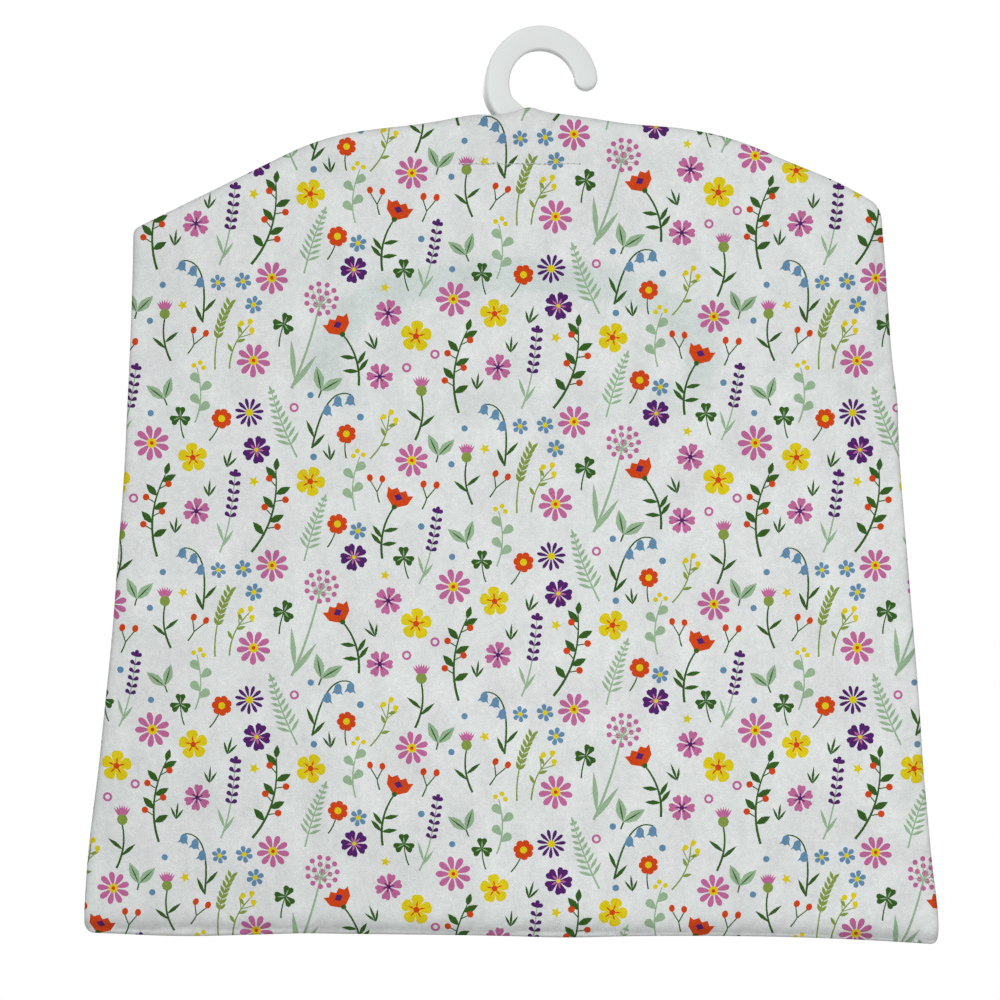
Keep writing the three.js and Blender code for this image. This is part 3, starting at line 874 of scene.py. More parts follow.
def grid_points(cut, outline):
    """Points that a cut of cloth bends at: a grid, rows beside the turned edge, and the keeper row."""
    low, high = cut.min(0), cut.max(0)
    grid = []
    for i, z in enumerate(np.arange(low[1], high[1], GRID_STEP * ROW_SHARE)):
        across = np.arange(low[0] + (i % 2) * GRID_STEP / 2, high[0], GRID_STEP)
        grid += [(x, z) for x in across]
    grid = np.array(grid)
    grid = grid[edge_distance(grid, outline)[0] > EDGE_ROWS[-1] + GRID_STEP / 3]
    beside = [outline - outward(outline) * row for row in EDGE_ROWS]
    along_keeper = np.arange(KEEPER_X - KEEPER_REACH, KEEPER_X + KEEPER_REACH, KEEPER_STEP)
    keeper_row = np.array([(x, KEEPER_Z + dz) for dz in KEEPER_ROWS for x in along_keeper])
    clear = np.abs(grid[:, 0] - KEEPER_X) > KEEPER_REACH
    grid = grid[clear | (np.abs(grid[:, 1] - KEEPER_Z) > KEEPER_BAND)]
    points = np.vstack([grid, *beside, keeper_row])
    points = points[inside(points, cut)]
    return points[clear_of(points, cut, CUT_CLEARANCE)]


def triangulated(loop, shapes, points):
    """Triangles inside a loop, with the top shape that each lies in, or -1."""
    vertices = [Vector(p) for p in loop]
    faces = [list(range(len(loop)))]
    for _, outline in shapes:
        faces.append(list(range(len(vertices), len(vertices) + len(outline))))
        vertices += [Vector(p) for p in outline]
    vertices += [Vector(p) for p in points]
    found = delaunay_2d_cdt(vertices, [], faces, MESH_INSIDE, MESH_TOLERANCE, True)
    places = np.array([tuple(v) for v in found[0]])
    triangles = np.array(found[2])
    centres = places[triangles].mean(1)
    kept = inside(centres, loop)
    triangles, centres = triangles[kept], centres[kept]
    order = np.argsort(centres[:, 0])
    across = centres[order, 0]
    tops = np.full(len(triangles), -1)
    for number, (_, outline) in enumerate(shapes):
        low, high = outline.min(0), outline.max(0)
        near = order[np.searchsorted(across, low[0]) : np.searchsorted(across, high[0])]
        near = near[(centres[near, 1] > low[1]) & (centres[near, 1] < high[1])]
        tops[near[inside(centres[near], outline)]] = number
    return places, triangles, tops, found[3]


def boundary_of(triangles):
    """The one closed loop round a set of anticlockwise triangles."""
    edges = {}
    for a, b, c in triangles.tolist():
        for edge in ((a, b), (b, c), (c, a)):
            edges[edge] = edge[::-1]
    following = {a: b for (a, b) in edges if (b, a) not in edges}
    start = next(iter(following))
    loop = [start]
    while following[loop[-1]] != start:
        loop.append(following[loop[-1]])
    if len(loop) != len(following):
        raise ValueError("the cloth's cut has more than one edge loop")
    return np.array(loop)


def used_only(places, triangles):
    used, renumbered = np.unique(triangles, return_inverse=True)
    return places[used], renumbered.reshape(triangles.shape)


UV_SIZE_SHARE, UV_MARGIN_SHARE, UV_STRIP_SHARE = 0.94, 0.01, 0.035
EDGE_SHADE_REACH, EDGE_SHADE_SHARE = 1.4, 0.24  # painted shade that darkens the cloth towards its sewn edges


def cloth_piece(name, face, cut, material):
    """A cut of printed cloth as a closed sheet: the printed face, the plain reverse and the edge."""
    outline = OUTLINES[face]
    shapes = printed_on(face, cut)
    points = grid_points(cut, outline)
    front, triangles, tops, _ = triangulated(cut, shapes, points)
    front, triangles = used_only(front, triangles)
    loop = boundary_of(triangles)
    plain, plain_triangles, _, sources = triangulated(front[loop], [], points)
    number = {source: i for i, found in enumerate(sources) for source in found}
    plain_loop = np.array([number[i] for i in range(len(loop))])

    outer, outer_normals = layer(face, front, inner=False)
    inner, inner_normals = layer(face, plain, inner=True)
    back_triangles = plain_triangles[:, ::-1] + len(front)
    a, b = loop, np.roll(loop, -1)
    c, d = plain_loop + len(front), np.roll(plain_loop, -1) + len(front)
    rim = np.concatenate([np.stack([b, a, c], 1), np.stack([b, c, d], 1)])
    faces = np.concatenate([triangles, back_triangles, rim])
    if face == FRONT:
        faces = faces[:, ::-1]
    piece = new_object(name, placed(np.concatenate([outer, inner])), faces, material)
    mesh = piece.data

    both = np.concatenate([front, plain])
    give_flat(piece, both * (1 if face == REAR else -1, 1) - np.array(PRINT_SHIFT[face]))
    colours = np.zeros((len(faces), 4), np.float32)
    for number, (ink, _) in enumerate(shapes):
        rgb = INKS[INK_NAMES[ink]]
        chosen = np.nonzero(tops == number)[0]
        if rgb is not None and len(chosen):
            colours[chosen] = colour_of(rgb)
    mesh.attributes.new("ink", "FLOAT_COLOR", "FACE").data.foreach_set("color", colours.ravel())
    # Painted show-through and shade of the binding, on the rear cloth's printed face
    shadow = np.zeros(len(both))
    if face == REAR:
        shadow[: len(front)] = binding_shade_share(*front.T)
    give_values(mesh, "binding_shade", shadow)
    # Painted shade along the sewn edges, fading inwards
    give_values(mesh, "edge_shade", np.exp(-edge_distance(both, outline)[0] / EDGE_SHADE_REACH))

    # The printed face fills the map, and the plain reverse is squeezed into a strip beside it
    low, size = front.min(0), np.ptp(front, axis=0)
    printed_map = UV_MARGIN_SHARE + (front - low) / size.max() * UV_SIZE_SHARE
    strip = UV_SIZE_SHARE + 2 * UV_MARGIN_SHARE
    plain_map = (plain - low) / size * (UV_STRIP_SHARE, UV_SIZE_SHARE) + (strip, UV_MARGIN_SHARE)
    corner_map = np.concatenate([printed_map, plain_map])[faces]
    mesh.uv_layers.new(name="OFBake").uv.foreach_set("vector", corner_map.astype(np.float32).ravel())
    mesh.normals_split_custom_set_from_vertices(np.concatenate([outer_normals, inner_normals]).tolist())
    return piece


# Painted show-through and shade of the binding on the rear cloth: softness, least share and fade
BINDING_SHADE_SOFTNESS, BINDING_SHADE_LEAST, BINDING_SHADE_FADE = 2.5, 0.3, (-12, 6)  # the last from the mouth's middle
AT_CENTRE = 1e-6


def binding_shade_share(x, z):
    """How much painted show-through and shade of the green binding lies on the rear cloth."""
    away = np.hypot(x - MOUTH_X, z - MOUTH_Z) + AT_CENTRE
    power = MOUTH_FULLNESS_SHARE

    def outside(inset):
        """From 0 within the mouth's oval, moved in by inset, to 1 outside it."""
        across = np.abs((x - MOUTH_X) / (MOUTH_HALF_WIDTH - inset))
        up = np.abs((z - MOUTH_Z) / (np.where(z > MOUTH_Z, MOUTH_RISE, MOUTH_DROP) - inset))
        level = across**power + up**power
        signed = away * (1 - 1 / np.maximum(level, AT_CENTRE) ** (1 / power))
        return smooth(signed, -BINDING_SHADE_SOFTNESS, BINDING_SHADE_SOFTNESS)

    fade = smooth(z, *(MOUTH_Z + limit for limit in BINDING_SHADE_FADE))
    return (1 - outside(0)) * outside(BINDING_WIDTH) * (BINDING_SHADE_LEAST + (1 - BINDING_SHADE_LEAST) * fade)


# Materials


class Nodes:
    """Short calls for building a material's nodes."""

    def __init__(self, name):
        self.material = bpy.data.materials.new(name)
        self.material.use_nodes = True
        self.tree = self.material.node_tree
        self.shader = self.tree.nodes["Principled BSDF"]

    def add(self, kind, **settings):
        node = self.tree.nodes.new(kind)
        for key, value in settings.items():
            setattr(node, key, value)
        return node

    def link(self, source, target):
        self.tree.links.new(source, target)

    def feed(self, socket, value):
        if isinstance(value, bpy.types.NodeSocket):
            self.link(value, socket)
        else:
            socket.default_value = value

    def math(self, operation, *values):
        node = self.add("ShaderNodeMath", operation=operation)
        for socket, value in zip(node.inputs, values):
            self.feed(socket, value)
        return node.outputs[0]

    def product(self, first, *others):
        for other in others:
            first = self.math("MULTIPLY", first, other)
        return first

    def scaled(self, vector, factors):
        node = self.add("ShaderNodeVectorMath", operation="MULTIPLY")
        self.link(vector, node.inputs[0])
        node.inputs[1].default_value = factors
        return node.outputs[0]

    def dot(self, vector, direction):
        node = self.add("ShaderNodeVectorMath", operation="DOT_PRODUCT")
        self.link(vector, node.inputs[0])
        node.inputs[1].default_value = direction
        return node.outputs["Value"]

    def mix(self, factor, first, second, blend="MIX"):
        node = self.add("ShaderNodeMix", data_type="RGBA", blend_type=blend)
        self.feed(node.inputs["Factor"], factor)
        self.feed(node.inputs[6], first)
        self.feed(node.inputs[7], second)
        return node.outputs[2]

    def shaded(self, colour, shade):
        """A colour times a grey value."""
        grey = self.add("ShaderNodeCombineColor")
        for socket in grey.inputs[:3]:
            self.link(shade, socket)
        return self.mix(1.0, colour, grey.outputs[0], "MULTIPLY")

    def noise(self, vector, scale, detail=2.0, roughness=0.5):
        node = self.add("ShaderNodeTexNoise")
        self.link(vector, node.inputs["Vector"])
        node.inputs["Scale"].default_value = scale
        node.inputs["Detail"].default_value = detail
        node.inputs["Roughness"].default_value = roughness
        return node.outputs[0]

    def spread(self, value, low, high):
        """Stretches 0 to 1 over low to high."""
        node = self.add("ShaderNodeMapRange")
        self.link(value, node.inputs["Value"])
        node.inputs["To Min"].default_value = low
        node.inputs["To Max"].default_value = high
        return node.outputs[0]

    def uneven(self, value, share):
        """Stretches 0 to 1 over a share below 1 to a share above it."""
        return self.spread(value, 1 - share, 1 + share)

    def attribute(self, name):
        return self.add("ShaderNodeAttribute", attribute_name=name).outputs

    def object_place(self):
        return self.add("ShaderNodeTexCoord").outputs["Object"]

    def bump(self, height, distance, strength):
        node = self.add("ShaderNodeBump")
        self.link(height, node.inputs["Height"])
        node.inputs["Distance"].default_value = distance * MM
        node.inputs["Strength"].default_value = strength
        self.link(node.outputs[0], self.shader.inputs["Normal"])

    def set(self, **values):
        for key, value in values.items():
            self.feed(self.shader.inputs[key.replace("_", " ")], value)


def wave(nodes, vector, direction, pitch, wobble):
    """0 to 1 across threads that lie pitch apart along direction."""
    turns = tuple(2 * math.pi / pitch * c for c in direction)
    phase = nodes.math("ADD", nodes.dot(vector, turns), wobble)
    return nodes.math("MULTIPLY_ADD", nodes.math("SINE", phase), 0.5, 0.5)


# Noises have a scale, a detail and, for some, a roughness; bumps a height in millimetres and a strength
TWILL_PITCH, YARN_PITCH = 0.92, 0.55
CLOTH_COLOURS = (213, 214, 215), (214, 220, 217)
# Colour and strength of the painted show-through and shade of the binding
BINDING_SHADE_COLOUR, BINDING_SHADE_STRENGTH = (197, 207, 204), 0.85
WOBBLE_NOISE, WOBBLE = (0.35, 3), 5.0  # how the threads stray from straight lines
GRAIN_NOISE, BLOTCH_NOISE = (2.2, 2), (0.03, 3)
INK_NOISE, RUMPLE_NOISE = (1.1, 3, 0.6), (0.1, 4, 0.6)
UNEVEN_TONE_AND_SHADE = ((2.2, 2, 0.22), (0.45, 3, 0.14), (0.05, 2, 0.1))  # uneven tone, and painted shade of rumples and folds: scale, detail, share of the colour
COTTON_ROUGHNESS = 0.6
INK_UNEVEN, INK_TWILL, INK_COVER = 0.14, 0.05, (1.0, 0.98)
TWILL_SHADE = (0.965, 1.02)
# The rumples' noise raises the bump and, as painted shade, darkens and lightens the colour
RUMPLE_STRETCH, RUMPLE_SHADE = (1.0, 0.45, 1.0), 0.14
YARN_HEIGHT, GRAIN_HEIGHT, RUMPLE_HEIGHT = 0.5, 0.8, 22.0  # in heights of the twill
CLOTH_BUMP = (0.05, 0.8)
DIAGONAL = math.sqrt(0.5)


def cloth_material():
    nodes = Nodes("printed_twill")
    flat = nodes.attribute("flat")["Vector"]
    ink = nodes.attribute("ink")
    wobble = nodes.product(nodes.noise(flat, *WOBBLE_NOISE), WOBBLE)
    twill = wave(nodes, flat, (DIAGONAL, DIAGONAL, 0), TWILL_PITCH, wobble)
    yarn = wave(nodes, flat, (0, 1, 0), YARN_PITCH, wobble)
    grain = nodes.noise(flat, *GRAIN_NOISE)
    rumple = nodes.noise(nodes.scaled(flat, RUMPLE_STRETCH), *RUMPLE_NOISE)

    white = nodes.mix(nodes.noise(flat, *BLOTCH_NOISE), *map(colour_of, CLOTH_COLOURS))
    # Painted show-through and shade of the green binding
    tint = nodes.product(nodes.attribute("binding_shade")["Fac"], BINDING_SHADE_STRENGTH)
    white = nodes.mix(tint, white, colour_of(BINDING_SHADE_COLOUR))
    ink_shade = nodes.uneven(nodes.noise(flat, *INK_NOISE), INK_UNEVEN)
    ink_shade = nodes.product(ink_shade, nodes.uneven(twill, INK_TWILL))
    inked = nodes.shaded(ink["Color"], ink_shade)
    print_share = nodes.product(ink["Alpha"], nodes.spread(twill, *INK_COVER))
    colour = nodes.mix(print_share, white, inked)
    # Painted shade of the rumples and folds, with the cotton's uneven tone
    shade = nodes.product(nodes.spread(twill, *TWILL_SHADE), nodes.uneven(rumple, RUMPLE_SHADE))
    for scale, detail, share in UNEVEN_TONE_AND_SHADE:
        tone_and_shade = nodes.noise(flat, scale, detail, COTTON_ROUGHNESS)
        shade = nodes.product(shade, nodes.uneven(tone_and_shade, share))
    # Painted shade along the sewn edges
    shade = nodes.product(shade, nodes.spread(nodes.attribute("edge_shade")["Fac"], 1, 1 - EDGE_SHADE_SHARE))
    nodes.set(Base_Color=nodes.shaded(colour, shade), Roughness=0.95, Specular_IOR_Level=0.08)

    height = twill
    for part, share in ((yarn, YARN_HEIGHT), (grain, GRAIN_HEIGHT), (rumple, RUMPLE_HEIGHT)):
        height = nodes.math("ADD", height, nodes.product(part, share))
    nodes.bump(height, *CLOTH_BUMP)
    return nodes.material


TAPE_WEAVE = ((91, 154, 124), 0.62, 0.2)  # colour, pitch of the threads and contrast
REVERSE_WEAVE = ((214, 217, 216), 0.7, 0.05)
WEAVE_WOBBLE_NOISE, WEAVE_WOBBLE = (0.5, 2), 4.0
WEAVE_BLOTCH_NOISE, WEAVE_BLOTCH = (0.12, 3), 0.06
WEAVE_BUMP = (0.08, 0.8)
TOP_THREAD_COLOUR, KEEPER_THREAD_COLOUR = (122, 178, 152), (192, 198, 195)
TWIST_NOISE, TWIST_SHADE, TWIST_BUMP = (2600, 2), (0.82, 1.12), (0.06, 0.7)
PLASTIC_COLOURS = (212, 216, 215), (220, 223, 222)
PLASTIC_GRAIN, PLASTIC_FLOW, PLASTIC_ROUGHNESS = (900, 3), (38, 3), (0.36, 0.5)
GRAIN_SHARE, PLASTIC_BUMP = 0.3, (0.03, 0.3)


def woven_material(name, colour, pitch, contrast):
    """Plain weave tape or cloth, by its flat coordinates."""
    nodes = Nodes(name)
    flat = nodes.attribute("flat")["Vector"]
    wobble = nodes.product(nodes.noise(flat, *WEAVE_WOBBLE_NOISE), WEAVE_WOBBLE)
    warp = wave(nodes, flat, (DIAGONAL, DIAGONAL, 0), pitch, wobble)
    weft = wave(nodes, flat, (DIAGONAL, -DIAGONAL, 0), pitch, wobble)
    weave = nodes.product(warp, weft)
    blotch = nodes.uneven(nodes.noise(flat, *WEAVE_BLOTCH_NOISE), WEAVE_BLOTCH)
    shade = nodes.product(nodes.uneven(weave, contrast), blotch)
    nodes.set(Base_Color=nodes.shaded(colour_of(colour), shade), Roughness=0.9, Specular_IOR_Level=0.15)
    nodes.bump(weave, *WEAVE_BUMP)
    return nodes.material


def thread_material(name, colour):
    nodes = Nodes(name)
    twist = nodes.noise(nodes.object_place(), *TWIST_NOISE)
    nodes.set(Base_Color=nodes.shaded(colour_of(colour), nodes.spread(twist, *TWIST_SHADE)))
    nodes.set(Roughness=0.7, Specular_IOR_Level=0.35, Sheen_Weight=0.2)
    nodes.bump(twist, *TWIST_BUMP)
    return nodes.material


def plastic_material():
    nodes = Nodes("hanger_plastic")
    place = nodes.object_place()
    grain, flow = nodes.noise(place, *PLASTIC_GRAIN), nodes.noise(place, *PLASTIC_FLOW)
    nodes.set(Base_Color=nodes.mix(flow, *map(colour_of, PLASTIC_COLOURS)))
    nodes.set(Roughness=nodes.spread(flow, *PLASTIC_ROUGHNESS), Specular_IOR_Level=0.4)
    nodes.bump(nodes.math("MULTIPLY_ADD", grain, GRAIN_SHARE, flow), *PLASTIC_BUMP)
    return nodes.material


# Hanger

CORNER_STEPS, CORNER_MOST_SHARE = 4, 0.95
TIP_ANGLES = np.radians(np.linspace(88, 8, 9))  # of the hook's round end
TIP_THINNING, TIP_THINNING_POWER = 0.3, 8
LOOP_STEPS, STEM_STEPS, ARM_STEPS = 64, 15, 70
ARM_END_ANGLES = np.radians(np.linspace(10, 86, 7))
ARM_END_THINNING = 0.25


def section(half_width, half_thickness, round_off):
    """A rounded rectangle, as pairs across the band and through it."""
    corner = min(round_off, CORNER_MOST_SHARE * half_width, CORNER_MOST_SHARE * half_thickness)
    points = []
    for i, (sx, sy) in enumerate(((1, 1), (-1, 1), (-1, -1), (1, -1))):
        for k in range(CORNER_STEPS + 1):
            angle = math.pi / 2 * (i + k / CORNER_STEPS)
            x = sx * (half_width - corner) + corner * math.cos(angle)
            points.append((x, sy * (half_thickness - corner) + corner * math.sin(angle)))
    return points


def lofted(name, rings, material):
    """A closed body through rings of as many points each, with flat ends."""
    count = len(rings[0])
    vertices = np.concatenate(rings)
    faces = []
    for i in range(len(rings) - 1):
        for k in range(count):
            a, b = i * count + k, i * count + (k + 1) % count
            faces.append((a, b, b + count, a + count))
    faces.append(tuple(range(count))[::-1])
    faces.append(tuple(range(len(vertices) - count, len(vertices))))
    piece = new_object(name, placed(vertices), faces, material)
    for cap in piece.data.polygons[-2:]:
        cap.use_smooth = False
    face_outwards(piece)
    return piece


def face_outwards(piece):
    tidy = bmesh.new()
    tidy.from_mesh(piece.data)
    bmesh.ops.recalc_face_normals(tidy, faces=tidy.faces)
    tidy.to_mesh(piece.data)
    tidy.free()


def hook_rings():
    """Rings along the band, from the round tip over the loop and down the neck."""
    line = []  # place, direction, half width, half thickness
    half, thick = HOOK_BAND / 2, HOOK_THICKNESS / 2
    tip, ahead = hook_circle(LOOP_FROM)
    for angle in TIP_ANGLES:
        shrink = 1 - TIP_THINNING * math.sin(angle) ** TIP_THINNING_POWER
        line.append((tip - ahead * half * math.sin(angle), ahead, half * math.cos(angle), thick * shrink))
    for angle in np.linspace(LOOP_FROM, LOOP_TO, LOOP_STEPS):
        line.append((*hook_circle(angle), half, thick))
    start, heading = line[-1][:2]
    stem_top, stem_low = np.array((0, STEM_LOW + SWEEP_IN)), np.array((0, STEM_LOW))
    handles = [start, start + heading * SWEEP_OUT, stem_top, stem_low]
    for share in np.linspace(0, 1, STEM_STEPS)[1:]:
        line.append((*bezier(handles, share), half, thick))
    rings = []
    for place, ahead, width, through in line:
        side = np.array((ahead[1], -ahead[0]))
        ring = []
        for across, depth in section(width, through, HOOK_ROUND):
            x, z = place + side * across
            ring.append(turned_about_neck(x, depth, z))
        rings.append(np.array(ring))
    return rings


def hook_circle(angle):
    """A place on the hook's loop, and the direction along it."""
    c, s = math.cos(angle), math.sin(angle)
    return np.array((HOOK_X + HOOK_RADIUS * c, HOOK_Z + HOOK_RADIUS * s)), np.array((-s, c))


def bezier(handles, share):
    rest = 1 - share
    weights = (rest**3, 3 * rest**2 * share, 3 * rest * share**2, share**3)
    place = sum(w * h for w, h in zip(weights, handles))
    slopes = (rest**2, 2 * rest * share, share**2)
    ahead = sum(w * (handles[i + 1] - handles[i]) for i, w in enumerate(slopes))
    return place, ahead / np.linalg.norm(ahead)


def turned_about_neck(x, y, z):
    turning = float(smooth(z, TWIST_LOW, TWIST_HIGH))
    angle = HOOK_TURN * turning
    roll = HOOK_ROLL * turning * (1 - float(smooth(x, *ROLL_EASE)))
    reach = x - NECK_X
    across = NECK_X + reach * math.cos(angle) - y * math.sin(roll)
    return across, reach * math.sin(angle) + y * math.cos(roll), z


def arm_rings():
    reach, half = HANGER_SPAN / 2 - ARM_TIP, ARM_DEPTH / 2
    ends = [(reach + ARM_TIP * math.sin(a), math.cos(a)) for a in ARM_END_ANGLES]
    stations = [(-x, share) for x, share in reversed(ends)]
    stations += [(x, 1) for x in np.linspace(-reach, reach, ARM_STEPS)] + ends
    rings = []
    for x, share in stations:
        middle = float(top_edge(x)) - ARM_TOP - half
        through = ARM_THICKNESS / 2 * (1 - ARM_END_THINNING * (1 - share) ** 2)
        points = section(half * share, through, ARM_ROUND)
        rings.append(np.array([(x, depth, middle + up) for up, depth in points]))
    return rings


def make_hanger(material):
    hook = lofted("hanger_moulding", hook_rings(), material)
    arms = lofted("hanger_arms", arm_rings(), material)
    union = hook.modifiers.new("union", "BOOLEAN")
    union.operation, union.solver, union.object = "UNION", "EXACT", arms
    bpy.context.view_layer.update()
    evaluated = hook.evaluated_get(bpy.context.evaluated_depsgraph_get())
    joined = bpy.data.meshes.new_from_object(evaluated)
    hook.modifiers.clear()
    hook.data = joined
    bpy.data.objects.remove(arms)
    return hook


# Binding and seams

TOP_STITCH_INSET, TOP_STITCH, TOP_STITCH_GAP, THREAD_RADIUS = 2.0, 2.3, 0.7, 0.24
TOP_STITCH_PROUD, KEEPER_PROUD = 0.6, 0.25  # of the thread's radius, from the face to its middle
TAPE_PLY = 0.5
TAPE_SLACK = 0.05  # between the tape and the cloth in its fold
TAPE_HOLLOW = CLOTH / 2 + TAPE_SLACK  # from the cloth's middle to the tape's inner face
TAPE_FULL = TAPE_HOLLOW + TAPE_PLY
TAPE_PUFF = 0.22
TAPE_SHARES = (0.0, 0.015, 0.05, 0.11, 0.155, 0.2, 0.3, 0.5, 0.7, 0.85)
TAPE_INNER_SHARES = (0.0, 0.3, 0.6, 0.9)
TAPE_GROOVE, GROOVE_REACH = 0.16, 0.45  # where the top stitching pulls the tape in
RIPPLE_HEIGHT, RIPPLE_LENGTH = 0.1, 6.5
TAPE_STEP = 1.3
JOIN_LENGTH, JOIN_EASE, JOIN_HEIGHT = 9.0, 1, 0.36  # where the tape's end lies over its start
FOLD_SHARE = 0.92  # the fold's round begins here
FOLD_ANGLES = np.radians(np.linspace(75, -75, 7))
CLOTH_INSET = 7.0  # the cloth ends inside the tape
RUN_BEYOND, RUN_STEPS = 0.1, 4000
TAPE_ROW = 1.4  # of the weave's flat coordinates, from point to point across the tape
STITCH_SHAPE = ((0, 0.35), (0.12, 0.8), (0.35, 1), (0.65, 1), (0.88, 0.8), (1, 0.35))  # along, radius
STITCH_SIDES = 6


def front_middle(points):
    """Depth of the middle of the front cloth."""
    return sum(depths_at(FRONT, points)) / 2


def tape_section():
    """Pairs of the share across the tape and the offset from the cloth's middle, all round the fold."""
    upper = [(0.0, TAPE_HOLLOW + TAPE_PLY / 2)]
    for share in TAPE_SHARES[1:]:
        beside = (share * BINDING_WIDTH - TOP_STITCH_INSET) / GROOVE_REACH
        puff = TAPE_PUFF * math.sqrt(math.sin(math.pi * share))
        upper.append((share, TAPE_FULL + puff - TAPE_GROOVE * math.exp(-(beside**2))))
    turn = []
    for angle in FOLD_ANGLES:
        share = FOLD_SHARE + (1 - FOLD_SHARE) * math.cos(angle)
        turn.append((share, (TAPE_FULL + TAPE_PUFF / 2) * math.sin(angle)))
    lower = [(s, -h) for s, h in reversed(upper)]
    within = [(s, -TAPE_HOLLOW) for s in TAPE_INNER_SHARES]
    back = [(s, TAPE_HOLLOW) for s in reversed(TAPE_INNER_SHARES)]
    return [*upper, *turn, *lower, *within, *back]


def mouth_run(first, last, inset):
    """Angles along the mouth's oval, how far each lies past the first, and the length to the last."""
    angles = np.linspace(first - RUN_BEYOND, last + RUN_BEYOND, RUN_STEPS)
    steps = np.linalg.norm(np.diff(mouth_point(angles, inset), axis=0), axis=1)
    along = np.concatenate([[0], np.cumsum(steps)])
    along -= np.interp(first, angles, along)
    return angles, along, float(np.interp(last, angles, along))


def tape_piece(name, first, last, material, joined=False):
    """The folded tape along the mouth's edge between two angles, with the tape's join at its end."""
    angles, along, length = mouth_run(first, last, 0)
    count = round(length / TAPE_STEP)
    places = np.linspace(-1, count + 1, count + 3) * length / count
    angles = np.interp(places, along, angles)
    around_tape = tape_section()
    shares, heights = (np.tile(values, len(places)) for values in np.transpose(around_tape))
    outer, inner = (
        np.repeat(mouth_point(angles, inset), len(around_tape), 0) for inset in (0, BINDING_WIDTH)
    )
    at = outer + (inner - outer) * shares[:, None]
    places = np.repeat(places, len(around_tape))
    ripples = 2 * math.pi * round(length / RIPPLE_LENGTH) / length
    ripple = RIPPLE_HEIGHT * np.sin(ripples * places) * np.sin(np.pi * shares)
    if joined:
        ply = np.maximum(np.abs(heights) - TAPE_HOLLOW, 0) / TAPE_PLY * np.sign(heights)
        start = length - JOIN_LENGTH
        heights = heights + ply * JOIN_HEIGHT * smooth(places, start - JOIN_EASE, start + JOIN_EASE)
    rings = np.stack([at[:, 0], front_middle(at) + heights + ripple, at[:, 1]], 1)
    rings = rings.reshape(count + 3, -1, 3)
    piece = lofted(name, rings[1:-1], material)
    rows = np.arange(rings.shape[1]) * TAPE_ROW
    flat = np.stack([places.reshape(count + 3, -1), np.tile(rows, (count + 3, 1))], 2)
    give_flat(piece, flat[1:-1].reshape(-1, 2))
    around = np.roll(rings, -1, 1) - np.roll(rings, 1, 1)
    normals = np.cross(rings[2:] - rings[:-2], around[1:-1])
    normals *= np.sign(normals[0, len(TAPE_SHARES) // 2, 1])
    normals /= np.linalg.norm(normals, axis=2)[..., None]
    piece.data.normals_split_custom_set_from_vertices(normals.reshape(-1, 3).tolist())
    return piece


def stitch(start, end, radius):
    """Rings of one short thread between two points, thinner where it dips into the cloth."""
    start, end = np.array(start), np.array(end)
    ahead = (end - start) / np.linalg.norm(end - start)
    lift = np.array((0.0, 1.0, 0.0)) - ahead * ahead[1]
    lift /= np.linalg.norm(lift)
    beside = np.cross(ahead, lift)
    angles = np.arange(STITCH_SIDES) * 2 * np.pi / STITCH_SIDES
    spokes = np.cos(angles)[:, None] * lift + np.sin(angles)[:, None] * beside
    return [start + (end - start) * share + spokes * radius * size for share, size in STITCH_SHAPE]


def stitch_piece(name, ends, radius, material):
    """One piece of many stitches, each a closed thread between a pair of points."""
    vertices, faces = [], []
    for start, end in ends:
        rings = stitch(start, end, radius)
        base, count = len(vertices), STITCH_SIDES
        for ring in rings:
            vertices += list(ring)
        for i in range(len(rings) - 1):
            for k in range(count):
                a, b = base + i * count + k, base + i * count + (k + 1) % count
                faces.append((a, a + count, b + count, b))
        faces.append(tuple(base + k for k in range(count)))
        faces.append(tuple(base + (len(rings) - 1) * count + k for k in reversed(range(count))))
    piece = new_object(name, placed(vertices), faces, material)
    face_outwards(piece)
    return piece


def top_stitches(first, last):
    """Ends of the stitches along the tape between two angles, on both of its faces."""
    angles, along, length = mouth_run(first, last, TOP_STITCH_INSET)
    count = int(length / (TOP_STITCH + TOP_STITCH_GAP))
    pitch = length / count
    lift = TAPE_FULL + THREAD_RADIUS * TOP_STITCH_PROUD
    ends = []
    for i in range(count):
        marks = np.array([pitch * i + TOP_STITCH_GAP / 2, pitch * (i + 1) - TOP_STITCH_GAP / 2])
        at = mouth_point(np.interp(marks, along, angles), TOP_STITCH_INSET)
        middle = front_middle(at)
        for way in (1, -1):
            ends.append([(at[k, 0], middle[k] + way * lift, at[k, 1]) for k in (0, 1)])
    return ends


def keeper_stitches():
    """Ends of the stitches between the needle's marks, on both cloths."""
    ends = []
    marks = np.array(KEEPER_MARKS)[:, :2]
    for start, end in zip(marks, marks[1:]):
        at = start + (end - start) * np.array(KEEPER_STITCH)[:, None]
        for face in (REAR, FRONT):
            proud = depths_at(face, at)[0] + KEEPER_THREAD * KEEPER_PROUD
            ends.append([(at[k, 0], face * proud[k], at[k, 1]) for k in (0, 1)])
    return ends


ALLOWANCE_WIDTH, ALLOWANCE_PLY, ALLOWANCE_INSET = 6.5, 0.36, 1.1
ALLOWANCE_APART = 0.06  # from the plane between the cloths
ALLOWANCE_RIPPLE, RIPPLE_TURN = 0.12, 0.9  # of the zigzag edge, and its phase from tooth to tooth
PINKING_DEPTH, PINKING_STEP = 0.8, 1.3
ALLOWANCE_RING = (0, 2, 4, 5, 3, 1)  # points round a section: three places, each with two depths


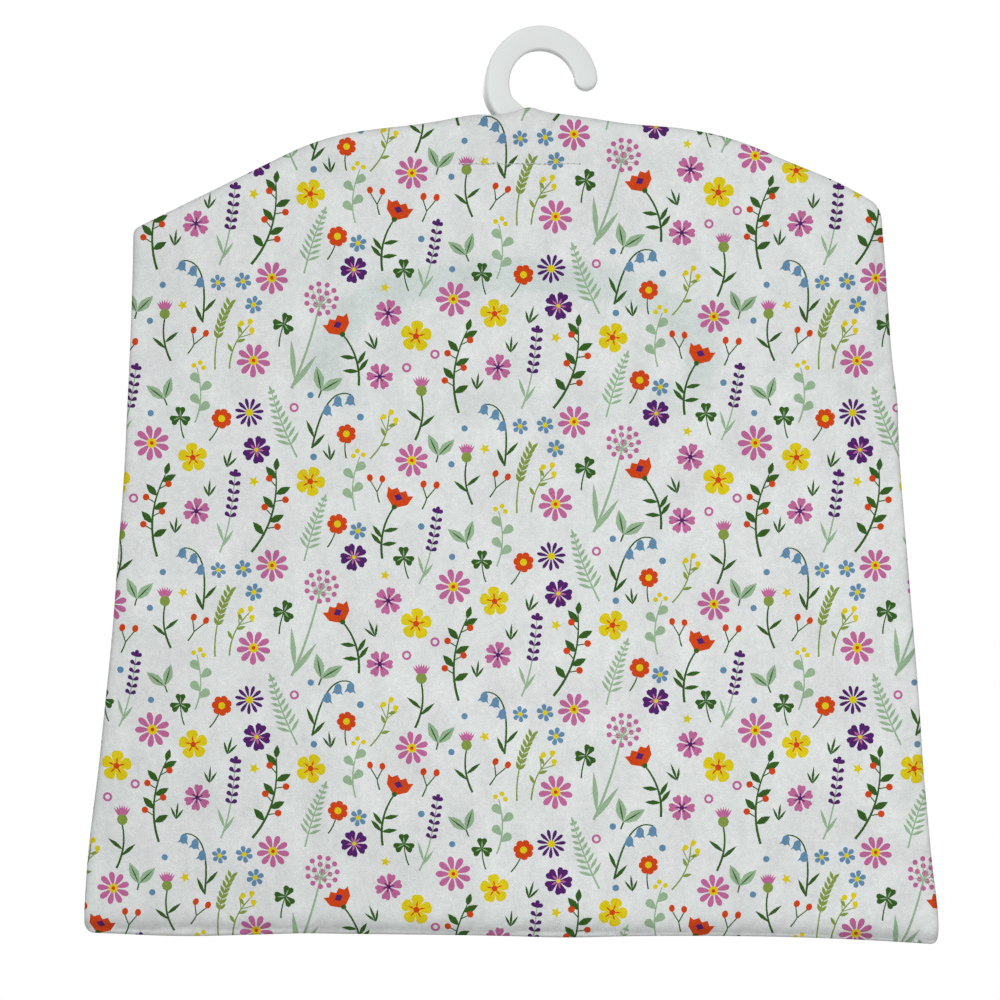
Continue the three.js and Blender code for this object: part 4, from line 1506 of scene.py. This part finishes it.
def allowance_piece(name, edge_line, inward, material):
    """Two plies of turned-in cloth beside an edge, with a zigzag inner edge."""
    vertices, faces, flat = [], [], []
    count = len(ALLOWANCE_RING)
    for way in (1, -1):
        base = len(vertices)
        for i, (at, into) in enumerate(zip(edge_line, inward)):
            zigzag = ALLOWANCE_WIDTH - PINKING_DEPTH + PINKING_DEPTH * (i % 2)
            for k, reach in enumerate((ALLOWANCE_INSET, ALLOWANCE_WIDTH / 2, zigzag)):
                x, z = at + into * reach
                lift = ALLOWANCE_RIPPLE * math.sin(RIPPLE_TURN * i + 2 * k) * (k == 2)
                for depth in (0, ALLOWANCE_PLY + lift):
                    vertices.append((x, sway(x, z) + way * (ALLOWANCE_APART + depth), z))
                    flat.append((i * PINKING_STEP, reach))
        last = base + count * (len(edge_line) - 1)
        for a in range(base, last, count):
            for here, following in zip(ALLOWANCE_RING, ALLOWANCE_RING[1:] + ALLOWANCE_RING[:1]):
                faces.append((a + here, a + following, a + count + following, a + count + here))
        for end in (base, last):
            faces.append(tuple(end + k for k in ALLOWANCE_RING))
    piece = new_object(name, placed(vertices), faces, material, smooth_faces=False)
    face_outwards(piece)
    give_flat(piece, flat)
    return piece


def edge_run(points):
    """A line along a sewn edge, and the directions into the bag."""
    tangent = np.gradient(points, axis=0)
    normal = np.stack([tangent[:, 1], -tangent[:, 0]], 1)
    normal /= np.linalg.norm(normal, axis=1)[:, None]
    middle = np.array((MOUTH_X, -BAG_HEIGHT / 2))
    if ((middle - points[len(points) // 2]) * normal[len(points) // 2]).sum() < 0:
        normal = -normal
    return points, normal


# The pieces

SIDE_END_LOW, SIDE_END_TOP, CORNER_CLEARANCE = 4, 6, 1.5  # the allowances stop short of the corners


def front_cuts():
    """The front cloth in three cuts round the mouth: above it, and below it to the left and right."""
    outline = OUTLINES[FRONT]
    above = part_of(outline, lambda p: p[:, 1] - MOUTH_Z, closed=True)
    below = part_of(outline, lambda p: MOUTH_Z - p[:, 1], closed=True)
    left = part_of(below, lambda p: MOUTH_X - p[:, 0])
    right = part_of(below, lambda p: p[:, 0] - MOUTH_X)
    over = mouth_point(np.linspace(math.pi, 0, MOUTH_STEPS // 2), CLOTH_INSET)
    under = mouth_point(np.linspace(math.pi, 1.5 * math.pi, MOUTH_STEPS // 4), CLOTH_INSET)
    under_right = under[::-1] * (-1, 1) + (2 * MOUTH_X, 0)
    left_line = line_between(above[-1], over[0])
    right_line = line_between(over[-1], above[0])
    middle_line = line_between(left[-1], under[-1])
    return [
        np.vstack([above, left_line, over, right_line]),
        np.vstack([left, middle_line, under[::-1], left_line[::-1]]),
        np.vstack([right, right_line[::-1], under_right[::-1], middle_line[::-1]]),
    ]


def seam_lines():
    """The line along the edge that each seam's allowance lies beside."""
    left, right = (
        np.arange(-BAG_HEIGHT + SIDE_END_LOW, top_edge(shoulder) - SIDE_END_TOP, PINKING_STEP)
        for shoulder in (SHOULDER_LEFT, SHOULDER_RIGHT)
    )
    inset = ALLOWANCE_WIDTH + CORNER_CLEARANCE
    bottom = np.arange(-BOTTOM_LEFT + inset, BOTTOM_RIGHT - inset, PINKING_STEP)
    top_left = np.arange(-SHOULDER_LEFT + inset, NECK_LEFT[0], PINKING_STEP)
    top_right = np.arange(-NECK_RIGHT[0], SHOULDER_RIGHT - inset, PINKING_STEP)
    return {
        "side_seam_left": np.stack([sewn_left(left), left], 1),
        "side_seam_right": np.stack([sewn_right(right), right], 1),
        "bottom_seam": np.stack([bottom, sewn_bottom(bottom)], 1),
        "shoulder_seam_left": np.stack([top_left, sewn_top(top_left)], 1),
        "shoulder_seam_right": np.stack([top_right, sewn_top(top_right)], 1),
    }


cloth = cloth_material()
tape = woven_material("binding_tape", *TAPE_WEAVE)
reverse = woven_material("plain_reverse", *REVERSE_WEAVE)
thread_green = thread_material("green_thread", TOP_THREAD_COLOUR)
thread_grey = thread_material("keeper_thread", KEEPER_THREAD_COLOUR)
plastic = plastic_material()

# Parts of the mouth's side: cloth, binding, top stitching, and the angles that they run between
MOUTH_PARTS = (
    ("front_cloth_upper", "binding_arch", "arch_stitches", 0, math.pi),
    ("front_cloth_lower_left", "binding_lip_left", "lip_stitches_left", math.pi, 1.5 * math.pi),
    ("front_cloth_lower_right", "binding_lip_right", "lip_stitches_right", 1.5 * math.pi, 2 * math.pi),
)
JOINED_BINDING = "binding_lip_left"

hanger = make_hanger(plastic)
rear_cloth = cloth_piece("rear_cloth", REAR, OUTLINES[REAR], cloth)
cuts = front_cuts()
front_cloths = [cloth_piece(part[0], FRONT, cut, cloth) for part, cut in zip(MOUTH_PARTS, cuts)]
bindings = [
    tape_piece(name, first, last, tape, name == JOINED_BINDING)
    for _, name, _, first, last in MOUTH_PARTS
]
top_threads = [
    stitch_piece(name, top_stitches(first, last), THREAD_RADIUS, thread_green)
    for _, _, name, first, last in MOUTH_PARTS
]
keeper = stitch_piece("keeper_stitches", keeper_stitches(), KEEPER_THREAD, thread_grey)
allowances = {
    node: allowance_piece(node + "_allowance", *edge_run(line), reverse)
    for node, line in seam_lines().items()
}

# Bodies and stand-ins

# The x where each part of the mouth's side would start to bow out with the lip, if it does; no part is
# bowed, and only whether a part has one is read
LIP_STARTS = (
    None,
    MOUTH_X - MOUTH_HALF_WIDTH + BINDING_WIDTH,
    MOUTH_X + MOUTH_HALF_WIDTH - BINDING_WIDTH,
)


def shows(piece, slot, *nodes, lip_start=None):
    """A piece of the bag shows in place of CAD nodes, which it hides; a lip's piece is baked where it
    stands, not attached to the bag's body.
    """
    if lip_start is None:
        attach(piece, "bag")
    else:
        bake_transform(piece)
    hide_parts(*nodes)


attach(hanger, "hanger")
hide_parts("hanger")
shows(rear_cloth, "printed_cloth", "rear_panel")
for front, binding, thread, lip_start in zip(front_cloths, bindings, top_threads, LIP_STARTS):
    part = "arch" if lip_start is None else "lip"
    shows(front, "printed_cloth", "front_panel", "front_lip_panel", lip_start=lip_start)
    shows(binding, "binding_tape", "mouth_binding_" + part, lip_start=lip_start)
    shows(thread, "sewing_thread", "binding_stitching_" + part, lip_start=lip_start)
shows(keeper, "sewing_thread", "keeper_stitching")
for node, piece in allowances.items():
    shows(piece, "seam_allowance", node)


# Camera, light and floor

PHOTO_WIDTH = 411.5  # of the photograph, at the rear cloth
PHOTO_CENTRE_X, PHOTO_CENTRE_Z = -16.6 * MM, -185.3 * MM
SCALE_PLANE_Y = -3.9 * MM  # the sewn edges
LENS, SENSOR = 110.0, 36.0
distance = PHOTO_WIDTH * MM * LENS / SENSOR

lens = bpy.data.cameras.new("camera")
lens.lens, lens.sensor_width = LENS, SENSOR
camera = bpy.data.objects.new("camera", lens)
camera.location = (PHOTO_CENTRE_X, SCALE_PLANE_Y - distance, PHOTO_CENTRE_Z)
camera.rotation_euler = (math.pi / 2, 0, 0)
bpy.context.scene.collection.objects.link(camera)
bpy.context.scene.camera = camera

# Name, place, aim, size in metres, power in watts and spread in degrees
LAMPS = (
    ("key", (0.06, -1.32, -0.15), (0.06, 0, -0.35), 0.5, 1.57, 80),
    ("overhead", (0.1, -1.78, 1.5), (0.0, 0, -0.2), 0.9, 3.7, 80),
    ("fill", (-0.75, 1.25, 0.45), (PHOTO_CENTRE_X, 0, PHOTO_CENTRE_Z), 0.9, 11.0, 150),
)
SKY_LIGHT = 0.46  # what the white backdrop sheds


def area_lamp(name, place, aim, size, power, spread_degrees):
    lamp = bpy.data.lights.new(name, "AREA")
    lamp.shape, lamp.size, lamp.energy = "SQUARE", size, power
    lamp.spread = math.radians(spread_degrees)
    holder = bpy.data.objects.new(name, lamp)
    holder.location = place
    holder.rotation_euler = (Vector(aim) - Vector(place)).to_track_quat("-Z", "Y").to_euler()
    bpy.context.scene.collection.objects.link(holder)


for lamp_values in LAMPS:
    area_lamp(*lamp_values)

world = bpy.data.worlds.new("studio")
bpy.context.scene.world = world
world.use_nodes = True
sky = world.node_tree
background = sky.nodes["Background"]
background.inputs["Color"].default_value = (1, 1, 1, 1)


def seen_rays(tree):
    """1 for the rays that show the backdrop, and 0 for those that carry its light."""
    rays = tree.nodes.new("ShaderNodeLightPath")
    seen = rays.outputs["Is Camera Ray"]
    for kind in ("Is Glossy Ray", "Is Transmission Ray"):
        either = tree.nodes.new("ShaderNodeMath")
        either.operation = "MAXIMUM"
        tree.links.new(seen, either.inputs[0])
        tree.links.new(rays.outputs[kind], either.inputs[1])
        seen = either.outputs[0]
    return seen


level = sky.nodes.new("ShaderNodeMapRange")
sky.links.new(seen_rays(sky), level.inputs["Value"])
level.inputs["To Min"].default_value = SKY_LIGHT
level.inputs["To Max"].default_value = 1.0
sky.links.new(level.outputs[0], background.inputs["Strength"])

FLOOR_Z, FLOOR_RADIUS, FLOOR_SIDES = -0.9, 1.7, 96
FLOOR_FADE = (0.35, 1.6)  # from the pale floor to the white backdrop, by distance from its middle
FLOOR_COLOUR, FLOOR_WHITE_SHARE = (0.5, 0.5, 0.5), 0.5  # the share is how white its middle is seen
FLOOR_NOISE, FLOOR_BUMP = (120, 3), (0.2, 0.2)
disc_mesh = bmesh.new()
bmesh.ops.create_circle(disc_mesh, cap_ends=True, segments=FLOOR_SIDES, radius=FLOOR_RADIUS)
floor_mesh = bpy.data.meshes.new("floor")
disc_mesh.to_mesh(floor_mesh)
disc_mesh.free()
floor = bpy.data.objects.new("floor", floor_mesh)
floor.location = (PHOTO_CENTRE_X, 0, FLOOR_Z)
bpy.context.scene.collection.objects.link(floor)
pale = Nodes("pale_floor")
pale.set(Base_Color=(*FLOOR_COLOUR, 1), Roughness=0.9)
pale.bump(pale.noise(pale.object_place(), *FLOOR_NOISE), *FLOOR_BUMP)
away = pale.add("ShaderNodeVectorMath", operation="LENGTH")
pale.link(pale.object_place(), away.inputs[0])
fade = pale.add("ShaderNodeMapRange", interpolation_type="SMOOTHSTEP")
pale.link(away.outputs["Value"], fade.inputs["Value"])
fade.inputs["From Min"].default_value, fade.inputs["From Max"].default_value = FLOOR_FADE
fade.inputs["To Min"].default_value = FLOOR_WHITE_SHARE
white = pale.add("ShaderNodeEmission")
blend = pale.add("ShaderNodeMixShader")
pale.link(pale.product(fade.outputs[0], seen_rays(pale.tree)), blend.inputs["Fac"])
pale.link(pale.shader.outputs[0], blend.inputs[1])
pale.link(white.outputs[0], blend.inputs[2])
pale.link(blend.outputs[0], pale.tree.nodes["Material Output"].inputs["Surface"])
floor_mesh.materials.append(pale.material)

bpy.context.scene.view_settings.view_transform = "Standard"
